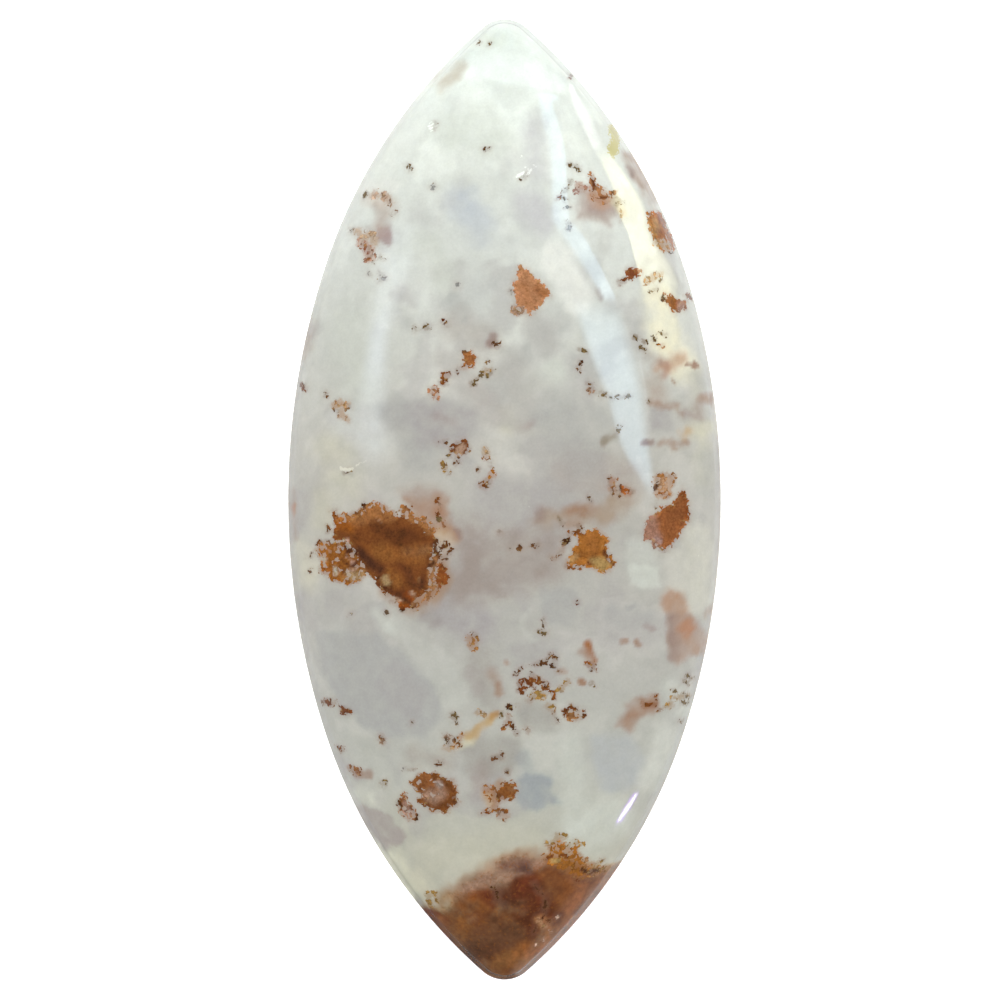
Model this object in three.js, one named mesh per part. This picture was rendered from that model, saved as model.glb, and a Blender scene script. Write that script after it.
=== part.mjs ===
// Plume agate cabochon: a marquise (navette) stone with a flat back and a domed, polished top.
//
// Millimetres, +Z up. The flat back lies on z = 0, the long axis runs along Y and the origin is
// the centre of the flat back. From the back upwards the stone has a narrow 45 degree bevel, a
// girdle wall that leans inwards, and one smooth dome.

import * as THREE from 'three';

// Outline at the widest level, as seen from above
const LENGTH = 49.0; // from tip to tip, along Y
const WIDTH = 22.1; // across the middle, along X
const SIDE_RADIUS = 38.2; // arc of each long side, centred level with the middle
const SIDE_SWEEP = THREE.MathUtils.degToRad(18.2); // how far that arc reaches towards each tip
const TIP_RADIUS = 1.7; // rounding of each tip

// Section through the stone
const THICKNESS = 5.6; // from the flat back to the crown of the dome
const BACK_BEVEL = 0.35; // width and height of the bevel round the back
const GIRDLE_TOP = 1.4; // height at which the wall ends and the dome starts
const GIRDLE_LEAN = 0.32; // how far the wall leans in between the bevel and the dome
const DOME_ROUNDNESS = 0.6; // power of the section across: 0.5 is an ellipse, 1 is a parabola
const ARCH_SHARE = 0.995; // share of that arch used, which leans at its foot as the wall does
const TIP_FALL = 0.75; // power with which the dome gets lower where the outline gets narrower

// Fineness of the faceted surface
const SIDE_STEPS = 11; // along the side arc, the shoulder arc and the tip arc of each quarter
const SHOULDER_STEPS = 18;
const TIP_STEPS = 5;
const DOME_RINGS = 18;

// The three arcs of one quarter of the outline (x and y positive), all tangent to each other.
// An inset outline keeps the same centres and takes the inset off every radius.
function quarterArcs(inset) {
  const sideCentre = new THREE.Vector2(WIDTH / 2 - SIDE_RADIUS, 0);
  const tipCentre = new THREE.Vector2(0, LENGTH / 2 - TIP_RADIUS);
  const direction = new THREE.Vector2(Math.cos(SIDE_SWEEP), Math.sin(SIDE_SWEEP));
  const sideEnd = sideCentre.clone().addScaledVector(direction, SIDE_RADIUS);
  // The shoulder arc touches the side arc at sideEnd and holds the tip circle inside it:
  // |shoulderCentre - tipCentre| = shoulderRadius - TIP_RADIUS, solved for the radius.
  const reach = sideEnd.clone().sub(tipCentre);
  const shoulderRadius =
    (reach.lengthSq() - TIP_RADIUS ** 2) / (2 * (reach.dot(direction) - TIP_RADIUS));
  const shoulderCentre = sideEnd.clone().addScaledVector(direction, -shoulderRadius);
  const shoulderEnd = tipCentre.clone().sub(shoulderCentre).angle();
  const arc = (centre, radius, from, to, steps) => ({ centre, radius: radius - inset, from, to, steps });
  return [
    arc(sideCentre, SIDE_RADIUS, 0, SIDE_SWEEP, SIDE_STEPS),
    arc(shoulderCentre, shoulderRadius, SIDE_SWEEP, shoulderEnd, SHOULDER_STEPS),
    arc(tipCentre, TIP_RADIUS, shoulderEnd, Math.PI / 2, TIP_STEPS),
  ];
}

// The closed outline, anticlockwise from the middle of the right side. One quarter is worked out
// from its arcs, mirrored over the tip, and the half so made is turned by 180 degrees.
function outlinePoints(inset) {
  const quarter = quarterArcs(inset).flatMap(({ centre, radius, from, to, steps }) =>
    Array.from({ length: steps }, (_, i) => {
      const angle = from + ((to - from) * i) / steps;
      return new THREE.Vector2(Math.cos(angle), Math.sin(angle)).multiplyScalar(radius).add(centre);
    }),
  );
  const tip = new THREE.Vector2(0, LENGTH / 2 - inset);
  const mirrored = quarter.slice(1).reverse().map(({ x, y }) => new THREE.Vector2(-x, y));
  const half = [...quarter, tip, ...mirrored];
  return [...half, ...half.map((point) => point.clone().negate())];
}

// Half the width of the inset outline at a given distance from the middle.
function halfWidth(y, inset) {
  const height = Math.abs(y);
  const arc = quarterArcs(inset).find(
    ({ centre, radius, to }) => height <= centre.y + radius * Math.sin(to) + 1e-9,
  );
  if (!arc) return 0;
  const rise = height - arc.centre.y;
  return Math.max(0, arc.centre.x + Math.sqrt(Math.max(0, arc.radius ** 2 - rise ** 2)));
}

// Rise of one section across the dome, from 0 at its foot (across = 1) to 1 in the middle.
function archRise(across) {
  const power = (share) => (1 - share ** 2) ** DOME_ROUNDNESS;
  const foot = power(ARCH_SHARE);
  return (power(ARCH_SHARE * Math.min(1, Math.abs(across))) - foot) / (1 - foot);
}

// Height of the dome above the back. Every section across the stone is one rounded arch, and
// its height falls with the width of the outline there.
function domeHeight(x, y) {
  const widest = halfWidth(0, GIRDLE_LEAN);
  const width = halfWidth(y, GIRDLE_LEAN);
  if (width === 0) return GIRDLE_TOP;
  const crown = (THICKNESS - GIRDLE_TOP) * (width / widest) ** TIP_FALL;
  return GIRDLE_TOP + crown * archRise(x / width);
}

// Rings of points from the edge of the flat back up to the last ring below the crown.
function stoneRings() {
  const level = (inset, z) => outlinePoints(inset).map((p) => new THREE.Vector3(p.x, p.y, z));
  const rings = [
    level(BACK_BEVEL, 0),
    level(0, BACK_BEVEL),
    level(GIRDLE_LEAN, GIRDLE_TOP),
  ];
  const girdle = outlinePoints(GIRDLE_LEAN);
  for (let i = 1; i < DOME_RINGS; i += 1) {
    const scale = Math.cos(((Math.PI / 2) * i) / DOME_RINGS);
    rings.push(
      girdle.map(({ x, y }) => {
        const height = domeHeight(x * scale, y * scale);
        return new THREE.Vector3(x * scale, y * scale, height);
      }),
    );
  }
  return rings;
}

// A closed surface through the rings, with a fan over each end.
function loftedGeometry(rings, bottom, top) {
  const count = rings[0].length;
  const points = [...rings.flat(), bottom, top];
  const bottomIndex = points.length - 2;
  const topIndex = points.length - 1;
  const lastRing = (rings.length - 1) * count;
  const faces = [];
  for (let i = 0; i < count; i += 1) {
    const next = (i + 1) % count;
    faces.push(bottomIndex, next, i);
    faces.push(topIndex, lastRing + i, lastRing + next);
    for (let low = 0; low < lastRing; low += count) {
      const high = low + count;
      faces.push(low + i, low + next, high + next);
      faces.push(low + i, high + next, high + i);
    }
  }
  const geometry = new THREE.BufferGeometry().setFromPoints(points);
  geometry.setIndex(faces);
  geometry.computeVertexNormals();
  return geometry;
}

const agate = new THREE.MeshStandardMaterial({ color: '#c6c9c4', roughness: 0.08, metalness: 0 });

const stone = new THREE.Mesh(
  loftedGeometry(stoneRings(), new THREE.Vector3(0, 0, 0), new THREE.Vector3(0, 0, THICKNESS)),
  agate,
);
stone.name = 'agate_cabochon';

const part = new THREE.Group();
part.add(stone);

export default part;
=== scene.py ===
"""Looks of a plume agate cabochon: a polished marquise stone of milky chalcedony with rust plumes.

All sizes are in millimetres unless a line says otherwise, and turn into metres where a mesh is
made. X runs across the stone, Y along it towards its pale tip, and Z up through the dome.
"""

import itertools

import bmesh
import bpy
import numpy as np
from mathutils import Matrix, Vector


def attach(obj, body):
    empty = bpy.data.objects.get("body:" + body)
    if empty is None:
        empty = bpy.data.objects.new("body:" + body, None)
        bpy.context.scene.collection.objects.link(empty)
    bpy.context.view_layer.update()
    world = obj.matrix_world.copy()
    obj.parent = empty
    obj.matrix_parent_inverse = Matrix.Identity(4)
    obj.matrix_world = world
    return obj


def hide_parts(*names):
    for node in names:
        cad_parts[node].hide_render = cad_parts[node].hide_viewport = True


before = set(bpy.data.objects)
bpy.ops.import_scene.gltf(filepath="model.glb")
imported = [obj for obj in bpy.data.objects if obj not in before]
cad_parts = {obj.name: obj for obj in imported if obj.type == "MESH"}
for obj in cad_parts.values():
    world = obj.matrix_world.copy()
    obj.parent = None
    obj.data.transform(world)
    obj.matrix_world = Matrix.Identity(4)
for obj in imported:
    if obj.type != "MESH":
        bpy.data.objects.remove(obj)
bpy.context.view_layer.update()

MM = 0.001

# Outline at the widest level, and the section, as the solid has them
LENGTH = 49.0
WIDTH = 22.1
SIDE_RADIUS = 38.2
SIDE_SWEEP = np.radians(18.2)
TIP_RADIUS = 1.7
THICKNESS = 5.6
BACK_BEVEL = 0.35
GIRDLE_TOP = 1.4
GIRDLE_LEAN = 0.32
DOME_ROUNDNESS = 0.6
ARCH_SHARE = 0.995
TIP_FALL = 0.75

# Polished-over edges: radius of the rounding between back and bevel, and bevel and wall
BACK_EDGE = 0.08
GIRDLE_EDGE = 0.12

# Fineness of the surface: rows along each arc of a quarter, columns across the dome and the
# back, steps round the two edges, and where on the wall its rows lie, as shares of its height
ARC_ROWS = (104, 104, 12)
DOME_COLUMNS = 180
BACK_COLUMNS = 4
BACK_EDGE_STEPS = 4
GIRDLE_EDGE_STEPS = 6
WALL_SHARES = (0.4, 0.7, 1.0)

# Light on a level white surface, against what the screen shows as 1, for milk and for pigment
LIGHT = 1.12
PIGMENT_LIGHT = 1.5

# The eye, straight above the stone: 1000 pixels span FRAME_WIDTH at the level of the outline
FRAME_WIDTH = 51.0
LENS = 180.0
SENSOR = 36.0
EYE = np.array([-0.23, -0.03, FRAME_WIDTH * LENS / SENSOR + BACK_BEVEL])


def quarter_arcs(inset):
    """The three tangent arcs of a quarter outline: centre x and y, radius, from and to angle.

    The shoulder arc touches the end of the side arc and holds the tip circle inside it, so its
    radius is (|reach|^2 - tip^2) / (2 (reach . direction - tip)), where reach runs from the tip
    circle's centre to the end of the side arc.
    """
    side_centre = np.array([WIDTH / 2 - SIDE_RADIUS, 0.0])
    tip_centre = np.array([0.0, LENGTH / 2 - TIP_RADIUS])
    direction = np.array([np.cos(SIDE_SWEEP), np.sin(SIDE_SWEEP)])
    side_end = side_centre + SIDE_RADIUS * direction
    reach = side_end - tip_centre
    shoulder = (reach @ reach - TIP_RADIUS**2) / (2 * (reach @ direction - TIP_RADIUS))
    shoulder_centre = side_end - shoulder * direction
    to_tip = tip_centre - shoulder_centre
    shoulder_end = np.arctan2(to_tip[1], to_tip[0])
    return (
        (*side_centre, SIDE_RADIUS - inset, 0.0, SIDE_SWEEP),
        (*shoulder_centre, shoulder - inset, SIDE_SWEEP, shoulder_end),
        (*tip_centre, TIP_RADIUS - inset, shoulder_end, np.pi / 2),
    )


def half_outline(inset):
    """Points of the right-hand outline from the lower tip to the upper one, one for each row.

    Each arc is centre + radius (cos, sin), and the lower quarter mirrors the upper one.
    """
    points = []
    for (cx, cy, radius, start, end), rows in zip(quarter_arcs(inset), ARC_ROWS):
        angle = np.linspace(start, end, rows, endpoint=False)
        points.append(np.column_stack([cx + radius * np.cos(angle), cy + radius * np.sin(angle)]))
    points.append(np.array([[0.0, LENGTH / 2 - inset]]))
    upper = np.concatenate(points)
    return np.concatenate([upper[:0:-1] * (1, -1), upper])


def rounded_corner(before, corner, after, radius, steps):
    """An arc of that radius, tangent to both lines that meet in the corner.

    Points of the chord between the two tangent points are pushed out from the arc's middle.
    """
    one = (before - corner) / np.linalg.norm(before - corner)
    two = (after - corner) / np.linalg.norm(after - corner)
    half = np.arccos(one @ two) / 2
    start = corner + one * radius / np.tan(half)
    end = corner + two * radius / np.tan(half)
    middle = corner + (one + two) / np.linalg.norm(one + two) * radius / np.sin(half)
    chord = start + (end - start) * np.linspace(0, 1, steps)[:, None]
    away = chord - middle
    return middle + away / np.linalg.norm(away, axis=1)[:, None] * radius


def wall_profile():
    """Inset and height of the edge, from the flat back round the bevel up to the dome's foot.

    Straight lines join the back, the bevel and the wall, and their two corners are rounded.
    """
    on_back = np.array([BACK_BEVEL + 1, 0.0])
    back_edge = np.array([BACK_BEVEL, 0.0])
    widest = np.array([0.0, BACK_BEVEL])
    foot = np.array([GIRDLE_LEAN, GIRDLE_TOP])
    lower = rounded_corner(on_back, back_edge, widest, BACK_EDGE, BACK_EDGE_STEPS)
    upper = rounded_corner(back_edge, widest, foot, GIRDLE_EDGE, GIRDLE_EDGE_STEPS)
    wall = widest + (foot - widest) * np.array(WALL_SHARES)[:, None]
    return np.concatenate([lower, upper, wall])


def arch_rise(across):
    """Rise of a section across the dome, 0 at its foot and 1 in the middle: (1 - v^2)^p."""
    def power(share):
        return (1 - share**2) ** DOME_ROUNDNESS

    foot = power(ARCH_SHARE)
    return (power(ARCH_SHARE * np.minimum(1, np.abs(across))) - foot) / (1 - foot)


def crown_rise(half_width):
    """How far the middle of the dome rises over its foot, where the foot has that half width.

    It is the full rise times (half width / widest half width)^TIP_FALL.
    """
    return (THICKNESS - GIRDLE_TOP) * (half_width / (WIDTH / 2 - GIRDLE_LEAN)) ** TIP_FALL


def even_columns():
    """Shares of the half width, -1 to 1, that cut the arch of the middle section evenly.

    The arch is measured along many short steps, and its length is cut into equal parts.
    """
    short_steps = 4000
    across = np.linspace(-1, 1, short_steps + 1)
    width = WIDTH / 2 - GIRDLE_LEAN
    height = (THICKNESS - GIRDLE_TOP) * arch_rise(across)
    steps = np.hypot(np.diff(across * width), np.diff(height))
    length = np.concatenate([[0], np.cumsum(steps)])
    return np.interp(np.linspace(0, length[-1], DOME_COLUMNS + 1), length, across)


def stone_surface():
    """Corners and quads of the whole stone: rows along it, each a closed loop round its section.

    A loop runs up the right-hand edge, over the dome from right to left, down the left-hand edge
    and back across the flat back. At both tips a loop shrinks to an upright line.
    """
    edge = []
    for inset, height in wall_profile():
        outline = half_outline(inset)
        edge.append(np.column_stack([outline, np.full(len(outline), height)]))
    right = np.stack(edge, axis=1)
    left = right[:, ::-1] * (-1, 1, 1)
    foot = right[:, -1]
    across = even_columns()[::-1][1:-1]
    dome = np.stack([
        foot[:, :1] * across,
        np.repeat(foot[:, 1:2], len(across), axis=1),
        GIRDLE_TOP + crown_rise(foot[:, :1]) * arch_rise(across),
    ], axis=2)
    shares = np.linspace(-1, 1, BACK_COLUMNS + 1)[1:-1]
    back_edge = right[:, 0]
    back = np.stack([
        back_edge[:, :1] * shares,
        np.repeat(back_edge[:, 1:2], len(shares), axis=1),
        np.zeros((len(back_edge), len(shares))),
    ], axis=2)
    loops = np.concatenate([right, dome, left, back], axis=1)
    rows, around, _ = loops.shape
    i, j = np.meshgrid(np.arange(rows - 1), np.arange(around), indexing="ij")
    following = (j + 1) % around
    corners = (i * around + j, i * around + following,
               (i + 1) * around + following, (i + 1) * around + j)
    quads = np.stack(corners, axis=2).reshape(-1, 4)
    return loops.reshape(-1, 3), quads[:, ::-1]


def add_object(name, data):
    """Puts a mesh, a light or a camera in the scene as an object of that name."""
    added = bpy.data.objects.new(name, data)
    bpy.context.scene.collection.objects.link(added)
    return added


def add_mesh(name, points, faces):
    """A mesh object from corner points in metres and the faces between them."""
    mesh = bpy.data.meshes.new(name)
    mesh.from_pydata(points, [], faces)
    return add_object(name, mesh)


def smooth_mesh(name, points, faces):
    """A closed mesh object from points in millimetres, doubles merged, shaded smooth.

    The two distances under which corners count as one, or a face as none, are in metres.
    """
    same_corner = 1e-7
    no_face = 1e-8
    piece = add_mesh(name, points * MM, faces.tolist())
    work = bmesh.new()
    work.from_mesh(piece.data)
    bmesh.ops.remove_doubles(work, verts=work.verts, dist=same_corner)
    bmesh.ops.dissolve_degenerate(work, edges=work.edges, dist=no_face)
    bmesh.ops.recalc_face_normals(work, faces=work.faces)
    work.to_mesh(piece.data)
    work.free()
    piece.data.shade_smooth()
    return piece


# Colours as screen values from 0 to 255, as they look under the studio light
SPECK = (84, 50, 26)
UMBER = (100, 60, 30)
MAROON = (98, 48, 28)
DARK_RUST = (122, 68, 32)
RUST = (142, 84, 38)
CRESCENT = (168, 104, 58)
ORANGE_RUST = (166, 98, 40)
TERRACOTTA = (208, 150, 106)
AMBER = (188, 122, 52)
GOLD = (172, 136, 76)
PALE_AMBER = (194, 160, 100)
TAN = (194, 162, 120)
PINK_TAN = (188, 154, 128)
OLIVE = (118, 98, 64)
BARK = (112, 76, 48)
GREY_BARK = (104, 84, 66)
PINK_BROWN = (160, 130, 108)
LILAC_BROWN = (152, 133, 125)
ORANGE_PINK = (192, 156, 128)
LILAC = (168, 164, 162)
PALE_LILAC = (190, 188, 192)
GREY = (170, 170, 166)
PALE_GREY = (194, 197, 192)
BLUE_GREY = (160, 165, 165)
PALE_BLUE = (186, 193, 200)
CREAM = (204, 202, 180)
PALE_MINT = (204, 208, 198)
PALE_FLESH = (214, 182, 156)
YELLOW = (228, 218, 138)

# Milk of the stone along its length: y and colour, from the brown end to the pale tip. It grows
# paler towards the tip partly by its own tone and partly as painted light, brighter at the end the
# light falls from.
MILK_AND_LIGHT_STOPS = (
    (-24.5, (186, 185, 171)),
    (-18.0, (186, 185, 171)),
    (-14.0, (189, 190, 181)),
    (-8.0, (184, 183, 176)),
    (-1.0, (187, 185, 177)),
    (3.0, (191, 190, 182)),
    (8.0, (202, 204, 196)),
    (13.5, (213, 217, 210)),
    (18.0, (223, 228, 220)),
    (24.5, (228, 237, 230)),
)

# A shape ends with a radius and its points: a line of that half width through the points, or
# with radius 0 the area that they go round. All are where the eye sees them over the level of
# the outline. A soft shape starts with a colour, a strength and a blur. Later ones lie on top.
SOFT_SHAPES = (
    # clouds, and paler patches between them, with a painted shadow by a crack and painted light on
    # a wall among them
    (PALE_LILAC, 0.45, 0.7, 0.6, (1.6, 19.0), (1.6, 16.8)),
    (PALE_BLUE, 0.6, 0.5, 0.8, (-2.2, 15.2), (-1.4, 13.9)),
    (PALE_BLUE, 0.7, 0.3, 0.35, (-1.4, 13.5), (-1.2, 13.2)),
    (PALE_LILAC, 0.5, 0.5, 0.8, (1.2, 15.0), (1.9, 14.2)),
    (LILAC, 0.25, 0.6, 0.5, (-4.3, 14.6), (-3.7, 14.1)),
    (PALE_MINT, 0.6, 0.7, 1.2, (-4.2, 12.6), (-3.6, 11.6)),
    (LILAC, 0.5, 0.3, 0.35, (-5.4, 10.4), (-4.8, 10.1)),
    (PALE_GREY, 0.5, 0.5, 0.7, (-1.2, 11.0), (-2.3, 10.0), (-1.5, 9.6)),
    (GREY, 0.4, 0.3, 0.5, (-2.6, 10.1), (-2.3, 9.6)),
    (GREY, 0.45, 0.45, 0.6, (2.9, 9.1), (1.5, 7.9)),
    (GREY, 0.5, 0.5, 0.9, (0.7, 7.0), (-0.3, 5.7)),
    (PALE_MINT, 0.7, 0.3, 0.6, (1.5, 6.0), (2.6, 6.6)),
    ((180, 174, 166), 0.6, 0.5, 0.8, (-2.4, 8.9), (-1.2, 8.3)),
    ((172, 161, 152), 0.5, 0.7, 1.1, (3.6, 1.6), (6.0, 1.0)),
    (PALE_MINT, 0.35, 0.6, 0.7, (-8.7, -6.8), (-8.4, -8.4)),
    (PALE_MINT, 0.5, 0.8, 1.0, (-7.8, 9.0), (-7.4, 5.5)),
    (GREY, 0.5, 0.6, 1.0, (-5.4, 4.4), (-4.4, 2.4)),
    (LILAC, 0.65, 0.45, 0, (-4.8, 5.0), (-3.2, 5.2), (-1.4, 4.6), (-1.2, 3.4), (-2.4, 2.7),
     (-4.2, 2.8), (-4.9, 3.8)),
    (LILAC_BROWN, 0.3, 0.3, 0.25, (-3.5, 4.1), (-2.8, 3.9)),
    (LILAC_BROWN, 0.5, 0.25, 0.25, (0.7, 3.8), (1.2, 3.8)),
    (CREAM, 0.6, 0.4, 0.4, (0.1, 4.5), (0.1, 3.6)),
    (GREY, 0.5, 0.6, 1.1, (2.5, 4.5), (4.0, 2.0)),
    (LILAC, 0.5, 0.7, 1.4, (-0.5, 0.0), (2.5, -0.8)),
    (CREAM, 0.4, 0.6, 0.9, (-8.8, 2.6), (-8.0, 0.6)),
    (LILAC, 0.6, 0.3, 0, (7.3, 4.7), (8.5, 4.8), (8.6, 3.6), (7.4, 3.5)),
    (CREAM, 0.7, 0.3, 0.4, (9.7, 3.5), (10.4, 3.6)),
    (LILAC, 0.3, 0.5, 0.6, (9.6, 5.4), (10.0, 4.4)),
    (PALE_MINT, 0.8, 0.12, 0, (6.2, -3.4), (7.95, -3.4), (7.9, -4.45), (6.3, -4.4)),
    (PALE_MINT, 0.5, 0.3, 0, (6.2, -2.0), (7.6, -2.0), (7.9, -3.4), (6.2, -3.4)),
    (GREY, 0.6, 0.25, 0, (1.9, -4.6), (3.4, -4.3), (3.9, -5.4), (3.4, -6.5), (2.3, -6.4),
     (1.7, -5.6)),
    (GREY, 0.5, 0.4, 0.5, (5.7, -5.9), (7.2, -6.1)),
    (LILAC, 0.8, 0.6, 0.9, (-3.2, -5.6), (-1.2, -6.4)),
    ((160, 148, 141), 0.9, 0.4, 0.5, (-1.7, -2.8), (-2.0, -4.2)),
    ((174, 174, 170), 0.85, 0.22, 0, (-9.6, -6.7), (-6.5, -6.9), (-4.9, -8.05), (-3.5, -9.7),
     (-3.2, -11.0), (-4.2, -12.2), (-6.3, -12.3), (-7.5, -11.3), (-8.6, -10.1), (-9.6, -8.3)),
    (LILAC, 0.35, 0.4, 0.9, (-5.6, -9.2), (-4.8, -10.2)),
    (PALE_MINT, 0.22, 0.14, 0, (-6.7, -5.3), (-5.7, -5.7), (-4.0, -7.1), (-1.7, -8.7),
     (-1.9, -10.2), (-3.1, -10.9), (-3.4, -9.6), (-5.0, -7.6), (-6.6, -6.4)),
    ((166, 158, 152), 0.6, 0.3, 0.4, (-1.7, -9.0), (-1.3, -9.6)),
    (PALE_MINT, 0.25, 0.12, 0.1, (1.2, -5.6), (0.9, -6.4), (1.6, -7.2)),
    ((168, 166, 158), 0.85, 0.3, 0, (-2.3, -12.5), (-0.5, -12.0), (0.8, -12.4), (0.9, -13.3),
     (0.2, -14.1), (-1.0, -14.3), (-2.1, -14.0)),
    (LILAC_BROWN, 0.35, 0.45, 0.5, (-1.3, -13.9), (-1.2, -14.9)),
    (BLUE_GREY, 0.45, 0.3, 0.35, (0.9, -13.2), (1.3, -13.9)),
    (BLUE_GREY, 0.9, 0.16, 0, (0.7, -14.2), (1.2, -13.95), (2.0, -13.95), (2.4, -14.3),
     (2.5, -15.0), (2.95, -15.5), (2.4, -15.6), (1.6, -15.9), (1.0, -15.8), (0.65, -15.3)),
    ((180, 183, 182), 0.75, 0.28, 0, (4.5, -12.0), (4.65, -14.2), (5.0, -14.9), (6.1, -14.9),
     (6.9, -14.2), (7.3, -13.2), (6.2, -11.9)),
    ((168, 161, 154), 0.9, 0.12, 0, (-7.6, -15.7), (-6.6, -15.7), (-5.9, -16.1), (-5.4, -16.7),
     (-5.05, -17.1), (-5.2, -17.5), (-5.6, -17.8), (-6.4, -17.9)),
    (CREAM, 0.2, 0.6, 0.9, (-3.6, -18.3), (1.0, -17.3)),
    (PALE_MINT, 0.5, 0.5, 0.7, (3.4, -12.6), (3.6, -16.4)),
    (PALE_MINT, 0.7, 0.7, 1.0, (3.6, -17.4), (5.4, -16.2)),
    ((206, 204, 186), 0.7, 0.5, 0.6, (-10.3, -2.6), (-10.0, -4.2)),
    ((232, 234, 226), 0.8, 0.35, 0.8, (2.6, 12.3), (3.4, 11.0), (3.6, 10.3)),
    ((184, 183, 177), 0.8, 0.35, 0.7, (1.6, 8.9), (2.2, 7.9)),
    ((184, 182, 175), 0.7, 0.6, 0.9, (0.0, 6.8), (1.2, 5.8), (0.4, 4.4)),
    ((206, 208, 202), 0.7, 0.6, 0.8, (-8.0, 4.2), (-6.4, 2.8)),
    ((222, 226, 219), 0.45, 0.5, 0.7, (-4.6, 12.0), (-4.2, 10.4)),
    ((178, 173, 167), 0.6, 0.5, 0.7, (-2.9, 7.0), (-2.0, 5.8), (-0.6, 4.4)),
    ((236, 232, 206), 0.75, 0.6, 0.8, (7.9, 10.2), (8.2, 8.0), (8.9, 6.9)),
    (CREAM, 0.5, 0.4, 0.3, (9.6, 6.6), (10.0, 3.0), (10.2, 1.0)),
    ((205, 204, 191), 0.7, 0.5, 0.8, (9.8, -2.0), (9.9, -4.0), (9.8, -5.2)),
    ((206, 205, 194), 0.7, 0.5, 0.5, (8.7, -3.0), (8.8, -4.2)),
    ((160, 150, 142), 0.75, 0.7, 0, (-3.4, -0.9), (-1.6, -0.9), (-0.6, -1.6), (1.2, -1.4),
     (3.2, -1.8), (3.1, -3.6), (2.2, -4.3), (0.2, -4.9), (-2.4, -5.6), (-3.4, -4.6), (-2.6, -3.2)),
    ((164, 160, 152), 0.6, 0.5, 0.7, (-1.2, -8.2), (-0.6, -10.2)),
    ((166, 164, 156), 0.7, 0.4, 0.6, (1.2, -11.0), (2.2, -11.3)),
    ((168, 160, 150), 0.5, 0.4, 0.5, (-4.6, -13.1), (-3.0, -13.3)),
    ((206, 208, 198), 0.7, 0.4, 0.5, (8.2, -12.0), (7.4, -14.2)),
    ((208, 204, 188), 0.8, 0.3, 0.35, (-3.15, 21.2), (-2.2, 22.0)),
    ((214, 222, 208), 0.5, 0.3, 0.35, (-0.9, 23.6), (-0.2, 23.4)),
    ((216, 216, 194), 0.85, 0.4, 0.5, (-5.7, -18.4), (-4.9, -19.8)),
    ((206, 204, 184), 0.8, 0.35, 0.4, (-4.5, -19.3), (-4.0, -20.0)),
    ((212, 218, 208), 0.7, 0.7, 0.8, (-2.8, 18.7), (-0.6, 18.3)),
    ((216, 222, 212), 0.6, 0.5, 0.5, (-2.2, 19.6), (-0.8, 19.5)),
    (LILAC, 0.4, 0.4, 0.4, (-10.3, -5.0), (-9.9, -6.4)),
    (LILAC, 0.4, 0.35, 0.35, (-1.3, -15.3), (-0.2, -14.2)),
    ((206, 210, 204), 0.6, 0.5, 0.6, (-2.3, 13.3), (1.0, 13.2)),
    ((196, 197, 190), 0.5, 0.3, 0.35, (5.0, 13.4), (5.1, 12.9)),
    (GREY, 0.35, 0.4, 0.4, (-5.5, 9.4), (-5.0, 9.0)),
    (LILAC, 0.45, 0.4, 0.5, (-3.3, 3.2), (-2.0, 1.9)),
    (GREY, 0.4, 0.4, 0.4, (4.8, 4.3), (5.0, 3.9)),
    ((176, 176, 168), 0.7, 0.4, 0.35, (10.3, 2.2), (10.3, 0.4)),
    (GREY, 0.4, 0.4, 0.35, (9.8, 6.3), (10.1, 5.9)),
    (CREAM, 0.4, 0.5, 0.5, (-9.3, 0.2), (-9.4, -1.2)),
    (PALE_MINT, 0.55, 0.3, 0.3, (-6.5, -5.8), (-5.9, -6.6)),
    (PALE_MINT, 0.6, 0.4, 0.4, (8.4, -9.6), (9.4, -10.8)),
    ((206, 208, 194), 0.8, 0.3, 0.3, (-7.6, -15.1), (-6.9, -15.3)),
    (LILAC, 0.5, 0.3, 0.3, (-8.1, -13.3), (-7.4, -14.3)),
    # painted shadow: grey shade just below the bright crack on the left
    ((150, 150, 144), 0.5, 0.12, 0.06, (-8.25, 1.3), (-7.8, 1.25)),
    # painted light: the lower left wall of the brown end painted pale, as if lit by the white floor
    ((236, 236, 220), 0.95, 0.2, 0.16, (-6.7, -17.6), (-6.1, -18.5), (-5.4, -19.5), (-4.75, -20.3)),
    ((230, 232, 224), 0.7, 0.3, 0.3, (-7.3, 15.9), (-5.8, 16.0)),
    # blurred plumes below the surface
    ((164, 128, 104), 0.7, 0.3, 0, (-5.2, 0.0), (-3.7, 0.0), (-3.3, -0.6), (-3.5, -1.6),
     (-4.2, -1.0), (-4.8, -0.5)),
    ((176, 158, 146), 0.45, 0.4, 0.35, (-5.2, 0.4), (-3.8, 0.3)),
    ((166, 126, 98), 0.8, 0.3, 0.3, (-3.3, 0.0), (-3.1, -1.2), (-2.6, -1.8)),
    ((158, 122, 92), 0.65, 0.3, 0.3, (-3.3, -3.0), (-3.1, -4.5), (-3.5, -4.9)),
    ((150, 142, 136), 0.5, 0.3, 0.3, (-3.9, -5.9), (-3.5, -6.2)),
    ((168, 146, 126), 0.7, 0.35, 0.4, (-5.9, -4.6), (-4.6, -5.5), (-3.6, -5.2), (-3.2, -4.4)),
    ((168, 150, 130), 0.7, 0.45, 0.45, (1.8, -1.0), (3.6, -0.9), (5.2, -0.7), (6.2, 0.1)),
    ((160, 124, 86), 0.6, 0.2, 0.3, (-0.7, -15.2), (-0.2, -14.6)),
    (PINK_TAN, 0.3, 0.3, 0.25, (-6.9, 15.3), (-6.3, 15.1)),
    (LILAC_BROWN, 0.3, 0.22, 0.26, (-6.5, 14.8), (-6.25, 14.5)),
    ((166, 146, 140), 0.8, 0.14, 0, (-6.45, 14.0), (-5.75, 13.9), (-5.6, 13.2), (-5.85, 13.0),
     (-6.4, 13.3)),
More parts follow.
